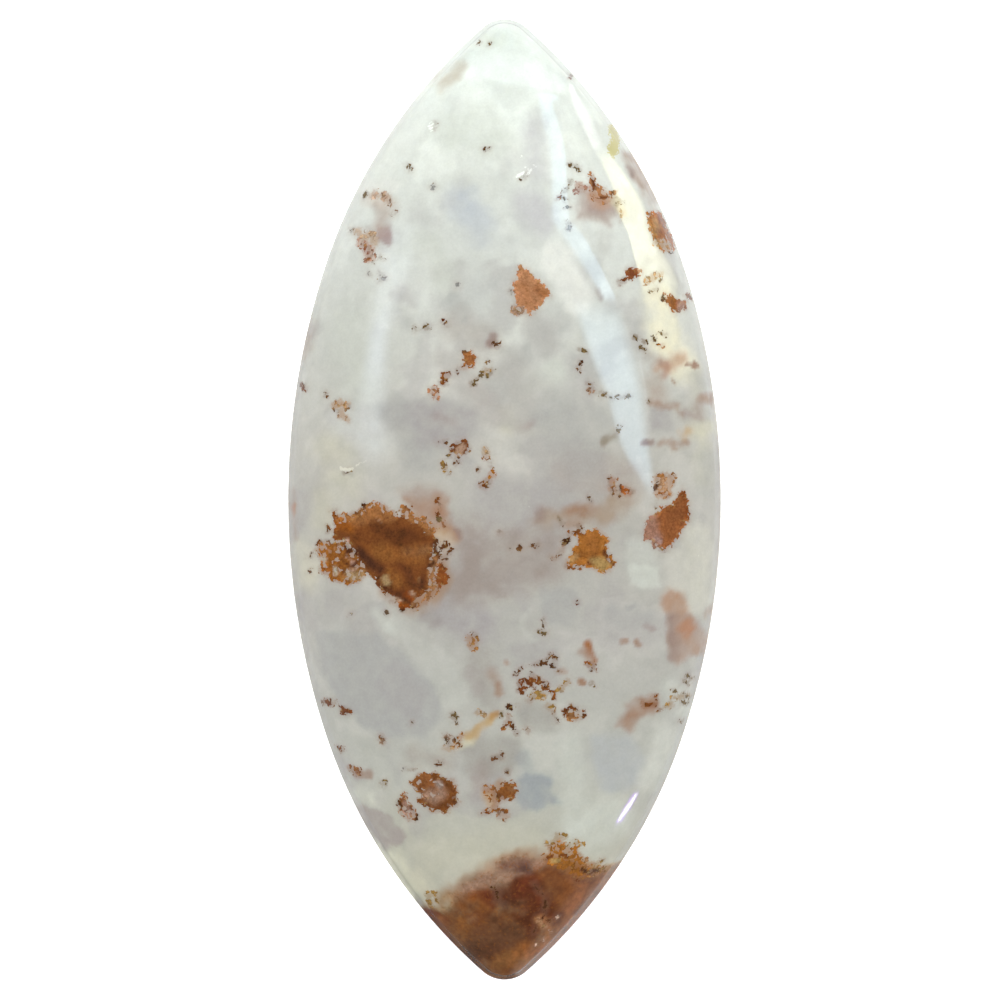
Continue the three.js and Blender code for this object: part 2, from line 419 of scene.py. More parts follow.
    ((176, 160, 150), 0.85, 0.25, 0, (3.7, 15.8), (4.3, 15.9), (4.8, 15.4), (5.5, 15.1),
     (5.75, 14.4), (5.2, 14.0), (4.6, 14.2), (3.7, 14.3)),
    ((196, 160, 134), 0.5, 0.2, 0.28, (4.4, 15.5), (5.1, 15.0)),
    ((214, 204, 172), 0.6, 0.2, 0.2, (5.6, 15.3), (5.9, 14.6)),
    ((186, 176, 164), 0.6, 0.3, 0, (6.2, 17.6), (6.9, 17.5), (7.5, 16.3), (7.0, 15.9), (6.4, 16.6)),
    (PINK_BROWN, 0.5, 0.3, 0.35, (6.35, 17.5), (7.5, 15.4)),
    (LILAC_BROWN, 0.7, 0.15, 0.15, (6.3, 16.95), (6.45, 16.7)),
    (LILAC_BROWN, 0.6, 0.16, 0.2, (4.75, 10.7), (4.85, 10.3)),
    (LILAC_BROWN, 0.85, 0.16, 0.2, (-0.62, 8.35), (-0.72, 8.0)),
    (GREY, 0.6, 0.15, 0.14, (-2.1, 9.35), (-2.15, 9.15)),
    (ORANGE_PINK, 0.7, 0.25, 0.34, (7.9, 6.8), (8.5, 6.9), (8.8, 7.2)),
    ((176, 140, 120), 0.6, 0.22, 0.22, (8.2, 6.9), (8.15, 6.5), (8.0, 6.2)),
    (LILAC_BROWN, 0.45, 0.3, 0.25, (7.2, 7.4), (7.8, 7.0)),
    (PINK_BROWN, 0.85, 0.08, 0.1, (9.2, 6.85), (9.5, 6.8), (9.7, 6.9)),
    (PINK_BROWN, 0.7, 0.08, 0.08, (8.55, 6.1), (8.65, 5.95)),
    (PINK_BROWN, 0.35, 0.4, 0.45, (7.5, 6.1), (7.9, 5.3)),
    (PINK_BROWN, 0.6, 0.2, 0.14, (7.4, 4.95), (8.2, 4.85), (8.8, 4.8), (9.2, 4.4)),
    (LILAC_BROWN, 0.6, 0.35, 0.3, (9.4, 4.4), (9.9, 4.2), (9.9, 4.9)),
    (PINK_BROWN, 0.85, 0.22, 0.26, (10.0, 5.1), (10.5, 5.1)),
    (LILAC_BROWN, 0.95, 0.12, 0.2, (7.25, 2.8), (7.45, 2.8)),
    (PINK_BROWN, 0.65, 0.18, 0.2, (8.0, 2.85), (9.2, 2.95)),
    (PINK_BROWN, 0.6, 0.14, 0.14, (8.5, 2.65), (8.65, 2.6)),
    (TAN, 0.7, 0.2, 0.22, (9.1, 3.3), (9.4, 3.45)),
    (OLIVE, 0.6, 0.25, 0.2, (5.2, 3.0), (5.5, 3.2)),
    (LILAC_BROWN, 0.6, 0.22, 0.25, (1.65, -0.65), (1.75, -0.9)),
    (PINK_BROWN, 0.7, 0.14, 0.12, (3.4, -0.65), (4.1, -0.5)),
    (PINK_BROWN, 0.7, 0.1, 0.1, (4.05, -0.82), (4.1, -0.85)),
    (PINK_BROWN, 0.55, 0.2, 0.18, (3.4, -1.3), (3.8, -1.2)),
    (PINK_BROWN, 0.55, 0.25, 0.3, (3.3, -0.6), (4.4, -0.5)),
    (PINK_BROWN, 0.45, 0.6, 0.35, (-4.6, 0.0), (-3.5, 0.1)),
    (LILAC_BROWN, 0.85, 0.15, 0.16, (-2.6, -1.55), (-2.35, -1.8)),
    (TAN, 0.45, 0.3, 0.4, (-3.3, -1.7), (-3.0, -2.2)),
    ((180, 148, 124), 0.75, 0.26, 0, (8.05, -4.9), (8.45, -4.6), (9.0, -4.8), (9.3, -5.3),
     (9.35, -5.8), (8.9, -5.95), (8.4, -5.85), (8.0, -5.4)),
    ((172, 146, 128), 0.75, 0.24, 0, (8.3, -6.0), (9.2, -5.8), (9.8, -6.1), (10.3, -6.6),
     (10.5, -7.3), (10.3, -7.9), (9.4, -8.2), (8.8, -8.4), (8.35, -8.0), (8.25, -7.0)),
    (LILAC_BROWN, 0.6, 0.25, 0.25, (8.5, -6.1), (8.55, -7.9)),
    ((176, 148, 126), 0.6, 0.3, 0.3, (9.5, -7.3), (9.7, -7.7)),
    ((178, 126, 90), 0.6, 0.22, 0.24, (9.1, -6.75), (9.55, -6.5)),
    (PINK_BROWN, 0.45, 0.22, 0.15, (10.3, -5.9), (10.6, -5.6)),
    ((164, 136, 116), 0.8, 0.24, 0, (7.75, -9.95), (7.95, -10.75), (7.5, -10.95), (7.0, -11.2),
     (6.6, -11.6), (6.2, -11.8), (5.8, -11.6), (6.0, -11.0), (6.2, -10.4), (6.9, -10.15)),
    ((150, 104, 72), 0.75, 0.14, 0.2, (7.2, -10.35), (7.75, -10.4)),
    ((160, 108, 70), 0.8, 0.16, 0.19, (4.25, -7.45), (4.3, -8.0), (4.4, -8.3)),
    (PINK_BROWN, 0.55, 0.2, 0.2, (4.0, -7.9), (4.2, -8.1)),
    (PINK_BROWN, 0.85, 0.11, 0.13, (3.9, -9.3), (4.05, -9.35)),
    (PINK_BROWN, 0.6, 0.12, 0.12, (5.85, -7.25), (6.0, -7.15)),
    (PINK_BROWN, 0.75, 0.12, 0.14, (6.7, -7.2), (6.8, -7.35)),
    (LILAC_BROWN, 0.5, 0.14, 0.13, (7.3, -6.5), (7.5, -6.6)),
    (GREY, 0.7, 0.12, 0.12, (6.4, -5.4), (6.6, -5.45)),
    (PINK_BROWN, 0.4, 0.3, 0.25, (-0.6, -8.9), (-0.4, -9.2)),
    (PINK_BROWN, 0.75, 0.15, 0.16, (-0.35, -9.5), (-0.3, -10.0)),
    (PINK_BROWN, 0.55, 0.12, 0.1, (0.15, -8.3), (0.2, -8.35)),
    ((192, 174, 146), 0.75, 0.15, 0, (-2.1, -12.2), (-1.8, -11.7), (-1.3, -11.3), (-0.7, -10.9),
     (-0.4, -11.2), (-0.9, -11.8), (-1.6, -12.5)),
    ((188, 162, 118), 0.85, 0.2, 0.24, (-1.9, -12.1), (-1.0, -11.4), (-0.5, -11.1)),
    ((180, 144, 98), 0.9, 0.1, 0.17, (-0.65, -11.1), (-0.3, -10.95)),
    (CREAM, 0.7, 0.2, 0.15, (-2.3, -12.55), (-1.7, -12.4)),
    ((180, 136, 116), 0.8, 0.14, 0.1, (-10.85, -0.3), (-10.85, -0.7)),
    (PINK_BROWN, 0.35, 0.25, 0.12, (-10.85, 0.4), (-10.7, -2.0)),
    (PINK_BROWN, 0.4, 0.4, 0.25, (-10.0, 9.0), (-10.3, 7.4)),
    ((196, 182, 170), 0.4, 0.4, 0.35, (-5.9, 15.0), (-6.3, 14.0)),
    ((160, 140, 126), 0.9, 0.16, 0.3, (-7.35, -14.0), (-6.9, -14.05)),
    (TAN, 0.6, 0.2, 0.25, (-0.95, -15.1), (-0.6, -15.5)),
    (PINK_BROWN, 0.45, 0.15, 0.12, (3.0, -8.7), (2.75, -8.75)),
)

# The brown end, painted over the milk in the same terms
STAIN_SHAPES = (
    ((168, 140, 136), 0.55, 0.5, 0, (-3.0, -20.0), (-2.2, -19.2), (-1.3, -19.0), (-0.7, -18.7),
     (-0.2, -18.1), (0.8, -17.9), (2.2, -18.0), (3.5, -18.6), (3.5, -20.0), (-2.6, -21.0)),
    ((154, 134, 134), 0.62, 0.45, 0, (-2.7, -19.7), (-1.9, -19.0), (-0.8, -18.6), (0.1, -18.1),
     (0.8, -17.9), (1.9, -18.1), (3.5, -19.0), (3.0, -20.0), (-2.2, -20.4)),
    ((118, 82, 54), 1.0, 0.36, 0, (-5.4, -20.85), (-4.2, -20.85), (-3.3, -20.95), (-2.6, -20.75),
     (-2.0, -20.35), (-1.2, -19.95), (-0.6, -19.8), (0.0, -19.55), (0.6, -19.4), (1.0, -19.2),
     (1.5, -18.8), (2.1, -18.3), (4.9, -18.7), (7.0, -18.8), (3.0, -26.0), (-3.0, -26.0)),
    ((140, 96, 62), 0.9, 0.5, 0, (2.2, -18.6), (7.0, -18.8), (2.6, -23.8), (1.9, -22.6),
     (2.7, -21.2), (2.2, -19.8)),
    ((146, 102, 62), 0.8, 0.4, 0.5, (-2.3, -20.8), (-1.2, -20.6)),
    ((140, 98, 66), 0.7, 0.3, 0.3, (1.9, -19.2), (2.9, -20.4), (2.7, -21.0)),
    ((140, 90, 52), 0.7, 0.25, 0.3, (-1.5, -20.3), (-0.9, -19.9)),
    ((128, 96, 56), 0.7, 0.3, 0.3, (-2.4, -21.6), (-1.9, -22.5)),
    ((100, 62, 42), 0.9, 0.25, 0.3, (-0.2, -20.7), (0.8, -20.75)),
    ((116, 70, 52), 1.0, 0.1, 0, (-4.8, -20.9), (-3.9, -20.85), (-3.1, -21.2), (-2.75, -21.7),
     (-2.75, -22.3), (-2.6, -23.2), (-4.8, -22.6)),
    ((154, 120, 96), 0.5, 0.3, 0.3, (-3.4, -20.6), (-2.5, -20.3)),
    ((140, 102, 68), 0.7, 0.35, 0.5, (-3.2, -21.4), (-2.5, -22.0)),
    ((100, 58, 40), 0.85, 0.35, 0.5, (-0.7, -20.2), (0.3, -20.3), (1.2, -19.7)),
    ((132, 104, 104), 0.7, 0.3, 0.4, (0.0, -18.5), (0.9, -18.4)),
    ((100, 82, 84), 0.85, 0.2, 0.22, (0.8, -18.8), (1.05, -18.95)),
    ((98, 56, 38), 0.85, 0.4, 0.5, (1.0, -19.9), (1.7, -20.5)),
    ((92, 52, 32), 0.85, 0.3, 0.3, (1.1, -20.7), (1.7, -21.2), (2.5, -21.25)),
    ((92, 52, 34), 0.85, 0.3, 0.4, (1.0, -21.4), (1.1, -22.2)),
    ((110, 84, 64), 0.85, 0.35, 0.45, (-0.5, -21.9), (0.1, -22.2)),
    ((108, 82, 64), 0.9, 0.4, 0.7, (-1.4, -22.6), (0.1, -22.6)),
    ((94, 68, 52), 0.9, 0.35, 0.4, (-1.7, -23.1), (-0.6, -23.1)),
    ((140, 106, 72), 0.9, 0.3, 0.36, (-0.5, -24.0), (1.0, -23.4)),
    ((152, 106, 66), 0.8, 0.3, 0.35, (1.0, -23.1), (2.1, -22.6)),
    ((156, 114, 82), 0.7, 0.16, 0.24, (1.7, -21.5), (2.0, -21.7)),
    ((158, 114, 72), 0.7, 0.2, 0.26, (2.0, -22.1), (2.1, -22.6)),
    ((140, 112, 98), 0.75, 0.2, 0.25, (4.5, -19.9), (4.0, -20.7)),
    ((166, 128, 94), 0.6, 0.2, 0.2, (5.5, -19.1), (5.1, -19.6)),
)

# Crisp plumes: colour, lace (0 solid, 1 only grains), then radius and points as above
CRISP_SHAPES = (
    # the large plume
    (RUST, 0.08, 0, (-8.87, -0.51), (-8.6, -0.6), (-8.5, -0.85), (-7.8, -0.83), (-7.2, -0.5),
     (-6.95, -0.27), (-6.42, -0.07), (-6.2, -0.3), (-5.75, -0.62), (-5.4, -0.8), (-5.02, -0.36),
     (-4.76, -0.41), (-4.75, -0.75), (-4.1, -0.9), (-3.75, -1.5), (-3.5, -2.0), (-3.6, -2.65),
     (-3.45, -3.0), (-3.55, -3.4), (-3.5, -3.7), (-3.7, -4.0), (-3.72, -4.5), (-4.0, -4.85),
     (-4.4, -5.15), (-4.7, -5.5), (-5.25, -5.6), (-5.35, -5.2), (-5.7, -4.95), (-6.15, -4.7),
     (-6.5, -4.35), (-6.7, -4.0), (-7.1, -3.75), (-7.52, -3.5), (-7.62, -2.65), (-8.14, -2.18),
     (-8.71, -2.07), (-8.8, -1.6), (-8.7, -1.1)),
    ((170, 106, 42), 0.42, 0, (-9.6, -2.18), (-9.65, -2.6), (-9.44, -2.86), (-9.31, -3.32),
     (-9.39, -3.71), (-9.0, -3.95), (-8.8, -4.1), (-8.24, -4.21), (-7.83, -4.31), (-7.31, -4.1),
     (-7.07, -3.7), (-7.2, -3.3), (-7.6, -2.65), (-8.14, -2.13), (-8.7, -2.13), (-9.39, -2.1)),
    ((178, 122, 72), 0.45, 0.2, (-8.5, -1.0), (-7.9, -1.0), (-7.2, -0.6), (-6.5, -0.3),
     (-5.8, -0.75)),
    ((176, 120, 70), 0.45, 0.24, (-5.1, -0.6), (-4.7, -0.95), (-4.1, -1.15), (-3.75, -1.6)),
    ((172, 122, 80), 0.55, 0.2, (-3.6, -3.1), (-3.75, -3.7), (-3.6, -4.5), (-4.1, -5.1),
     (-4.6, -5.35)),
    (UMBER, 0.1, 0.06, (-9.6, -2.5), (-9.55, -2.2), (-9.35, -2.12), (-9.0, -2.1), (-8.7, -2.2)),
    (SPECK, 0.0, 0.06, (-6.5, -4.25), (-6.35, -3.95)),
    (SPECK, 0.0, 0.05, (-6.21, -4.44), (-5.95, -4.57)),
    (DARK_RUST, 0.1, 0.08, (-5.8, -4.63), (-5.54, -4.7), (-5.02, -4.8)),
    (SPECK, 0.0, 0.06, (-6.01, -4.86)),
    (BARK, 0.1, 0.05, (-5.75, -5.15), (-5.6, -5.25)),
    ((156, 82, 30), 0.05, 0.15, (-4.95, -4.85), (-4.8, -5.15)),
    ((176, 92, 26), 0.1, 0.1, (-5.3, -5.35), (-5.1, -5.5), (-4.9, -5.4)),
    (SPECK, 0.0, 0.07, (-5.2, -5.65), (-5.1, -5.6)),
    (SPECK, 0.0, 0.07, (-4.68, -5.5)),
    (UMBER, 0.15, 0.13, (-3.6, -2.4), (-3.45, -2.15), (-3.5, -2.8)),
    (UMBER, 0.1, 0.11, (-3.14, -2.5), (-2.97, -2.35), (-3.0, -2.2)),
    (UMBER, 0.15, 0.12, (-2.72, -2.6), (-2.8, -2.75), (-3.0, -2.88), (-3.2, -3.0)),
    (UMBER, 0.15, 0.1, (-3.8, -3.35), (-3.6, -3.25)),
    ((150, 84, 34), 0.05, 0, (-3.5, -3.5), (-3.2, -3.28), (-2.95, -3.5), (-3.0, -3.74),
     (-2.82, -4.0), (-2.88, -4.32), (-3.2, -4.5), (-3.52, -4.2), (-3.4, -3.85)),
    (UMBER, 0.1, 0.05, (-3.2, -3.42), (-3.05, -3.6)),
    (SPECK, 0.1, 0.08, (-7.22, -0.25), (-7.2, -0.45)),
    (SPECK, 0.1, 0.05, (-7.65, -0.72), (-7.5, -0.72)),
    (SPECK, 0.1, 0.06, (-9.95, -2.98), (-9.75, -2.85)),
    (BARK, 0.1, 0.06, (-9.95, -3.6), (-9.9, -3.75)),
    (BARK, 0.1, 0.06, (-9.05, -1.3), (-9.0, -1.6)),
    # the chain of crumbs above its right end
    (RUST, 0.15, 0.12, (-3.38, -0.08)),
    (PINK_BROWN, 0.1, 0.09, (-3.3, -0.25), (-3.3, -0.5)),
    (DARK_RUST, 0.05, 0.14, (-3.3, -0.72)),
    (OLIVE, 0.1, 0.12, (-3.25, -1.03)),
    ((160, 112, 80), 0.1, 0.14, (-3.1, -1.3)),
    # terracotta plume
    (TERRACOTTA, 0.0, 0, (0.78, 11.9), (0.95, 11.95), (1.2, 11.7), (1.5, 11.4), (1.9, 11.0),
     (2.15, 10.8), (2.35, 10.35), (2.05, 10.15), (1.85, 9.9), (1.55, 9.65), (1.4, 9.4), (1.05, 9.6),
     (0.65, 9.95), (0.5, 10.4), (0.4, 10.95), (0.65, 11.35)),
    (PINK_TAN, 0.35, 0.22, (0.55, 9.7), (1.0, 9.6)),
    # crescent
    (CRESCENT, 0.0, 0, (9.04, 0.6), (9.22, 0.4), (9.31, 0.05), (9.44, -0.25), (9.5, -0.7),
     (9.44, -1.05), (9.22, -1.17), (9.25, -1.38), (9.0, -1.6), (8.85, -1.96), (8.58, -2.2),
     (8.55, -2.4), (8.24, -2.52), (7.94, -2.58), (7.7, -2.42), (7.5, -2.2), (7.14, -2.03),
     (7.11, -1.66), (7.14, -1.17), (7.4, -0.9), (7.7, -0.7), (8.0, -0.4), (8.55, -0.2), (8.8, 0.12),
     (8.85, 0.4)),
    (SPECK, 0.35, 0.11, (7.6, -2.25), (7.75, -2.4)),
    (SPECK, 0.15, 0.1, (7.9, -2.57), (8.1, -2.55)),
    (OLIVE, 0.1, 0.1, (7.7, -0.45)),
    # lacy frame above the crescent
    ((208, 162, 120), 0.7, 0, (7.6, 1.2), (8.1, 1.15), (8.6, 1.1), (8.5, 0.5), (8.5, 0.15),
     (8.1, 0.05), (7.7, 0.1), (7.65, 0.7)),
    (BARK, 0.4, 0.08, (7.72, 0.9), (7.7, 0.5)),
    ((176, 122, 72), 0.5, 0.1, (7.75, 1.15), (8.15, 1.2), (8.65, 1.15), (8.55, 0.8)),
    ((170, 108, 54), 0.4, 0.1, (7.75, 0.22), (8.1, 0.28), (8.35, 0.2)),
    # small lacy pair
    (BARK, 0.4, 0.06, (5.3, 1.05), (5.45, 0.95)),
    ((176, 120, 80), 0.65, 0.17, (5.55, 0.9), (5.55, 0.5)),
    (BARK, 0.3, 0.08, (5.4, 0.75), (5.6, 0.55), (5.5, 0.35)),
    ((176, 100, 44), 0.45, 0.2, (6.1, 0.45), (6.3, 0.4)),
    (BARK, 0.3, 0.07, (5.95, 0.65), (5.9, 0.2)),
    (BARK, 0.3, 0.06, (6.45, 0.5), (6.55, 0.4)),
    # amber plume
    (AMBER, 0.08, 0, (3.3, -1.75), (3.5, -1.62), (4.05, -1.62), (4.3, -1.5), (4.6, -1.5),
     (4.85, -1.5), (5.0, -1.75), (5.3, -2.05), (5.2, -2.25), (5.25, -2.5), (5.2, -2.8),
     (5.35, -3.0), (5.6, -3.2), (5.6, -3.35), (5.3, -3.7), (5.0, -3.8), (4.75, -3.65), (4.5, -3.5),
     (4.2, -3.35), (4.05, -3.55), (3.8, -3.4), (3.15, -3.4), (3.2, -3.0), (3.4, -2.8), (3.55, -2.5),
     (3.7, -2.2), (3.8, -1.95), (3.6, -1.85)),
    (DARK_RUST, 0.35, 0.1, (5.15, -2.7), (5.25, -3.1), (5.5, -3.3)),
    (RUST, 0.3, 0.1, (3.3, -1.72), (4.0, -1.7)),
    (RUST, 0.5, 0.1, (3.2, -3.35), (3.9, -3.4)),
    (DARK_RUST, 0.3, 0.09, (4.3, -3.2), (4.45, -3.3)),
    (SPECK, 0.25, 0.1, (3.15, -2.08), (3.0, -2.2)),
    (PINK_BROWN, 0.25, 0.1, (2.95, -2.4), (2.9, -2.65)),
    (BARK, 0.2, 0.09, (2.88, -2.72)),
    (OLIVE, 0.3, 0.07, (2.75, -0.9), (2.9, -1.2)),
    (BARK, 0.2, 0.11, (2.93, -1.3)),
    (BARK, 0.3, 0.08, (3.75, -1.28), (3.95, -1.4)),
    (GREY_BARK, 0.1, 0.08, (4.25, 0.02), (4.38, -0.08)),
    (PINK_BROWN, 0.2, 0.1, (2.45, -2.95), (2.6, -3.0)),
    # ring-like plume and its neighbour
    ((160, 102, 56), 0.25, 0, (-4.5, -14.08), (-4.2, -14.0), (-3.9, -14.05), (-3.7, -13.9),
     (-3.4, -13.96), (-3.3, -14.2), (-2.9, -14.2), (-2.6, -14.32), (-2.5, -14.63), (-2.4, -14.93),
     (-2.5, -15.12), (-2.27, -15.5), (-2.5, -15.67), (-2.7, -15.79), (-3.0, -15.98), (-3.3, -15.94),
     (-3.66, -15.85), (-3.84, -15.91), (-3.96, -15.67), (-4.27, -15.55), (-4.4, -15.24),
     (-4.1, -15.18), (-4.2, -14.93), (-4.64, -14.8), (-4.8, -14.45), (-4.57, -14.2)),
    ((132, 80, 36), 0.15, 0.18, (-3.6, -14.15), (-2.9, -14.45), (-2.7, -14.9), (-2.6, -15.4),
     (-3.1, -15.75), (-3.8, -15.6), (-4.2, -15.35)),
    (UMBER, 0.1, 0.13, (-2.5, -15.5)),
    ((166, 108, 68), 0.3, 0, (-5.2, -14.95), (-5.0, -15.12), (-4.93, -15.42), (-4.73, -15.55),
     (-4.54, -15.73), (-4.57, -15.98), (-4.45, -16.28), (-4.7, -16.34), (-4.95, -16.34),
     (-5.25, -16.13), (-5.37, -15.85), (-5.46, -15.67), (-5.4, -15.3)),
    (UMBER, 0.3, 0.1, (-5.42, -15.4), (-5.3, -15.7)),
    (UMBER, 0.3, 0.1, (-4.75, -15.75), (-4.65, -15.85)),
    (UMBER, 0.2, 0.1, (-4.5, -16.25)),
    # slanting plume beside the blue patch
    ((152, 94, 44), 0.15, 0, (0.02, -14.45), (0.32, -14.38), (0.54, -14.51), (0.63, -14.87),
     (0.47, -15.24), (0.14, -15.39), (-0.17, -15.43), (-0.23, -15.67), (0.14, -15.88),
     (0.08, -16.1), (-0.05, -16.34), (-0.35, -16.28), (-0.47, -15.98), (-0.84, -16.04),
     (-1.21, -15.98), (-0.96, -15.79), (-0.66, -15.61), (-0.47, -15.42), (-0.6, -15.12),
     (-0.47, -14.87), (-0.17, -14.57)),
    ((170, 110, 60), 0.6, 0.16, (-0.95, -14.75), (-0.6, -14.85), (-0.45, -15.3), (-0.55, -15.7)),
    (PINK_TAN, 0.5, 0.14, (-0.3, -16.0), (0.0, -16.2)),
    (DARK_RUST, 0.3, 0.08, (-0.95, -15.95), (-0.8, -15.93)),
    # upper right
    ((196, 138, 90), 0.55, 0, (4.35, 16.6), (4.5, 16.55), (4.75, 16.1), (5.1, 15.75), (5.4, 15.55),
     (5.7, 15.7), (5.6, 15.3), (5.35, 15.1), (4.95, 15.05), (4.6, 15.25), (4.4, 15.6), (4.4, 16.1)),
    ((190, 152, 140), 0.6, 0.12, (3.7, 15.85), (4.25, 15.95)),
    (DARK_RUST, 0.45, 0.07, (4.45, 16.35), (4.6, 16.1), (4.55, 15.8)),
    (DARK_RUST, 0.45, 0.06, (4.9, 15.4), (5.2, 15.3), (5.6, 15.6)),
    ((206, 156, 128), 0.7, 0.15, (3.7, 16.0), (4.1, 15.9)),
    (OLIVE, 0.45, 0.05, (5.65, 15.4), (5.95, 15.2), (5.75, 15.0)),
    (TAN, 0.35, 0.05, (5.9, 14.6), (5.95, 14.3)),
    (OLIVE, 0.5, 0.06, (3.35, 16.2), (3.15, 15.8)),
    (RUST, 0.3, 0.11, (2.95, 15.5), (2.75, 15.38)),
    (OLIVE, 0.3, 0.08, (3.0, 15.5), (3.1, 15.35)),
    (OLIVE, 0.3, 0.09, (3.36, 17.0)),
    (OLIVE, 0.2, 0.1, (3.68, 16.95), (3.74, 16.8)),
    (GREY, 0.2, 0.08, (3.2, 14.9), (3.4, 14.88)),
    (GREY, 0.5, 0.08, (3.3, 14.1), (3.25, 13.75)),
    ((188, 112, 32), 0.2, 0, (7.35, 14.6), (7.88, 14.7), (8.14, 14.46), (8.31, 13.95),
     (8.69, 13.27), (8.75, 12.8), (8.45, 12.55), (8.0, 12.7), (7.75, 13.1), (7.5, 13.53),
     (7.4, 14.04)),
    ((194, 150, 100), 0.55, 0.22, (7.9, 13.1), (8.3, 12.9)),
    ((160, 84, 24), 0.0, 0.1, (7.7, 14.65), (7.95, 14.45), (7.85, 14.0), (7.95, 13.6)),
    (SPECK, 0.0, 0.06, (8.35, 12.6), (8.5, 12.6)),
    ((158, 90, 48), 0.05, 0, (6.19, 11.84), (6.62, 11.92), (7.12, 11.71), (6.87, 11.41),
     (6.53, 11.16), (6.19, 11.33)),
    (DARK_RUST, 0.35, 0.09, (6.2, 11.25), (5.85, 11.0)),
    ((190, 140, 84), 0.6, 0.12, (7.3, 11.1), (7.9, 11.45)),
    (SPECK, 0.1, 0.09, (7.93, 11.2)),
    (OLIVE, 0.2, 0.07, (7.5, 10.65), (7.75, 10.7)),
    (ORANGE_RUST, 0.1, 0, (8.1, 10.4), (8.2, 10.5), (8.35, 10.35), (8.5, 10.4), (8.7, 10.3),
     (9.0, 10.1), (9.2, 10.1), (9.25, 9.8), (9.05, 9.6), (8.8, 9.5), (8.55, 9.6), (8.45, 9.85),
     (8.2, 10.05), (8.05, 10.2)),
    (SPECK, 0.2, 0.09, (8.15, 10.35), (8.12, 10.2)),
    (RUST, 0.05, 0, (9.15, 10.4), (9.4, 10.58), (9.62, 10.3), (9.7, 10.05), (9.45, 10.15)),
    (OLIVE, 0.25, 0.05, (7.95, 8.5), (8.15, 8.4)),
    (OLIVE, 0.45, 0.04, (7.6, 8.3), (7.75, 8.2)),
    (UMBER, 0.15, 0.06, (7.7, 7.97), (7.85, 7.9)),
    (AMBER, 0.15, 0.07, (7.9, 7.85), (8.12, 7.8)),
    (OLIVE, 0.15, 0.06, (6.9, 7.75), (7.15, 7.65)),
    (OLIVE, 0.75, 0.03, (6.65, 8.35), (7.3, 8.0)),
    # upper left
    ((220, 172, 146), 0.7, 0.24, (-7.25, 13.15), (-6.95, 12.8), (-6.9, 12.3)),
    ((166, 102, 76), 0.5, 0.1, (-7.3, 13.0), (-7.0, 12.6), (-6.95, 12.3)),
    ((160, 108, 70), 0.75, 0.08, (-7.25, 13.15), (-6.85, 12.75), (-6.75, 12.5), (-6.98, 12.3)),
    ((214, 184, 150), 0.85, 0.16, (-7.5, 13.65), (-7.2, 13.4), (-6.8, 13.55), (-6.6, 13.2)),
    (OLIVE, 0.1, 0.1, (-7.78, 13.73)),
    (OLIVE, 0.3, 0.08, (-6.75, 12.1)),
    (OLIVE, 0.3, 0.08, (-6.3, 12.38), (-6.1, 12.25)),
    (GREY, 0.2, 0.09, (-6.9, 11.5)),
    (GREY, 0.4, 0.08, (-6.3, 11.55), (-6.15, 11.3), (-6.35, 11.2)),
    (OLIVE, 0.3, 0.06, (-7.15, 15.55), (-7.0, 15.65)),
    ((216, 186, 160), 0.8, 0.14, (-6.7, 15.55), (-6.1, 15.5), (-5.85, 15.2)),
    (PINK_BROWN, 0.45, 0.07, (-6.2, 15.55), (-6.05, 15.4)),
    (BARK, 0.5, 0.07, (-5.85, 15.2)),
    (BARK, 0.15, 0.08, (-5.75, 14.55)),
    (PINK_BROWN, 0.2, 0.08, (-5.6, 14.7)),
    (BARK, 0.1, 0.11, (-0.97, 17.85), (-0.8, 17.9)),
    (OLIVE, 0.1, 0.09, (-4.85, 16.95), (-4.75, 16.87)),
    (GREY, 0.1, 0.09, (-3.72, 15.9), (-3.62, 16.0)),
    (DARK_RUST, 0.1, 0.1, (3.38, 21.6), (3.45, 21.6)),
    (OLIVE, 0.1, 0.06, (-3.58, 18.97)),
    (OLIVE, 0.1, 0.06, (-3.44, 19.16)),
    (OLIVE, 0.1, 0.06, (-1.28, 23.35)),
    (OLIVE, 0.1, 0.06, (-0.8, 23.2)),
    (GREY_BARK, 0.1, 0.05, (0.85, 16.35), (1.15, 16.6)),
    (OLIVE, 0.4, 0.09, (-4.55, 8.7)),
    (OLIVE, 0.4, 0.09, (-4.05, 8.75), (-3.95, 8.78)),
    (GREY, 0.3, 0.08, (-2.4, 10.95), (-2.38, 10.8)),
    (MAROON, 0.0, 0.13, (-3.1, 9.1), (-3.02, 9.02)),
    (GREY_BARK, 0.3, 0.09, (0.32, 10.65), (0.42, 10.55)),
    # upper middle
    ((186, 122, 70), 0.14, 0, (-2.15, 7.4), (-2.0, 7.6), (-1.9, 7.55), (-1.65, 7.65), (-1.6, 7.4),
     (-1.4, 7.3), (-1.45, 6.9), (-1.7, 6.7), (-2.05, 6.65), (-2.2, 6.7), (-2.1, 6.95)),
    (BARK, 0.15, 0.11, (-2.0, 7.5)),
    (RUST, 0.35, 0.08, (-2.1, 6.85), (-1.65, 6.8)),
    (BARK, 0.1, 0.09, (-2.35, 6.58)),
    (RUST, 0.35, 0.09, (-3.05, 6.32), (-2.82, 6.3)),
    (DARK_RUST, 0.25, 0.12, (-3.18, 5.9), (-3.02, 6.02)),
    ((184, 132, 98), 0.4, 0, (-3.8, 5.62), (-3.6, 5.72), (-3.3, 5.65), (-3.35, 5.3), (-3.5, 5.12),
     (-3.72, 5.2)),
    (GOLD, 0.45, 0.13, (-1.0, 6.55), (-0.75, 6.55)),
    (OLIVE, 0.35, 0.08, (-0.6, 6.5), (-0.85, 6.3)),
    (OLIVE, 0.3, 0.09, (-1.2, 6.38), (-1.4, 6.1)),
    (OLIVE, 0.35, 0.09, (-1.65, 5.95), (-1.48, 5.85)),
    (BARK, 0.2, 0.08, (-0.9, 7.05)),
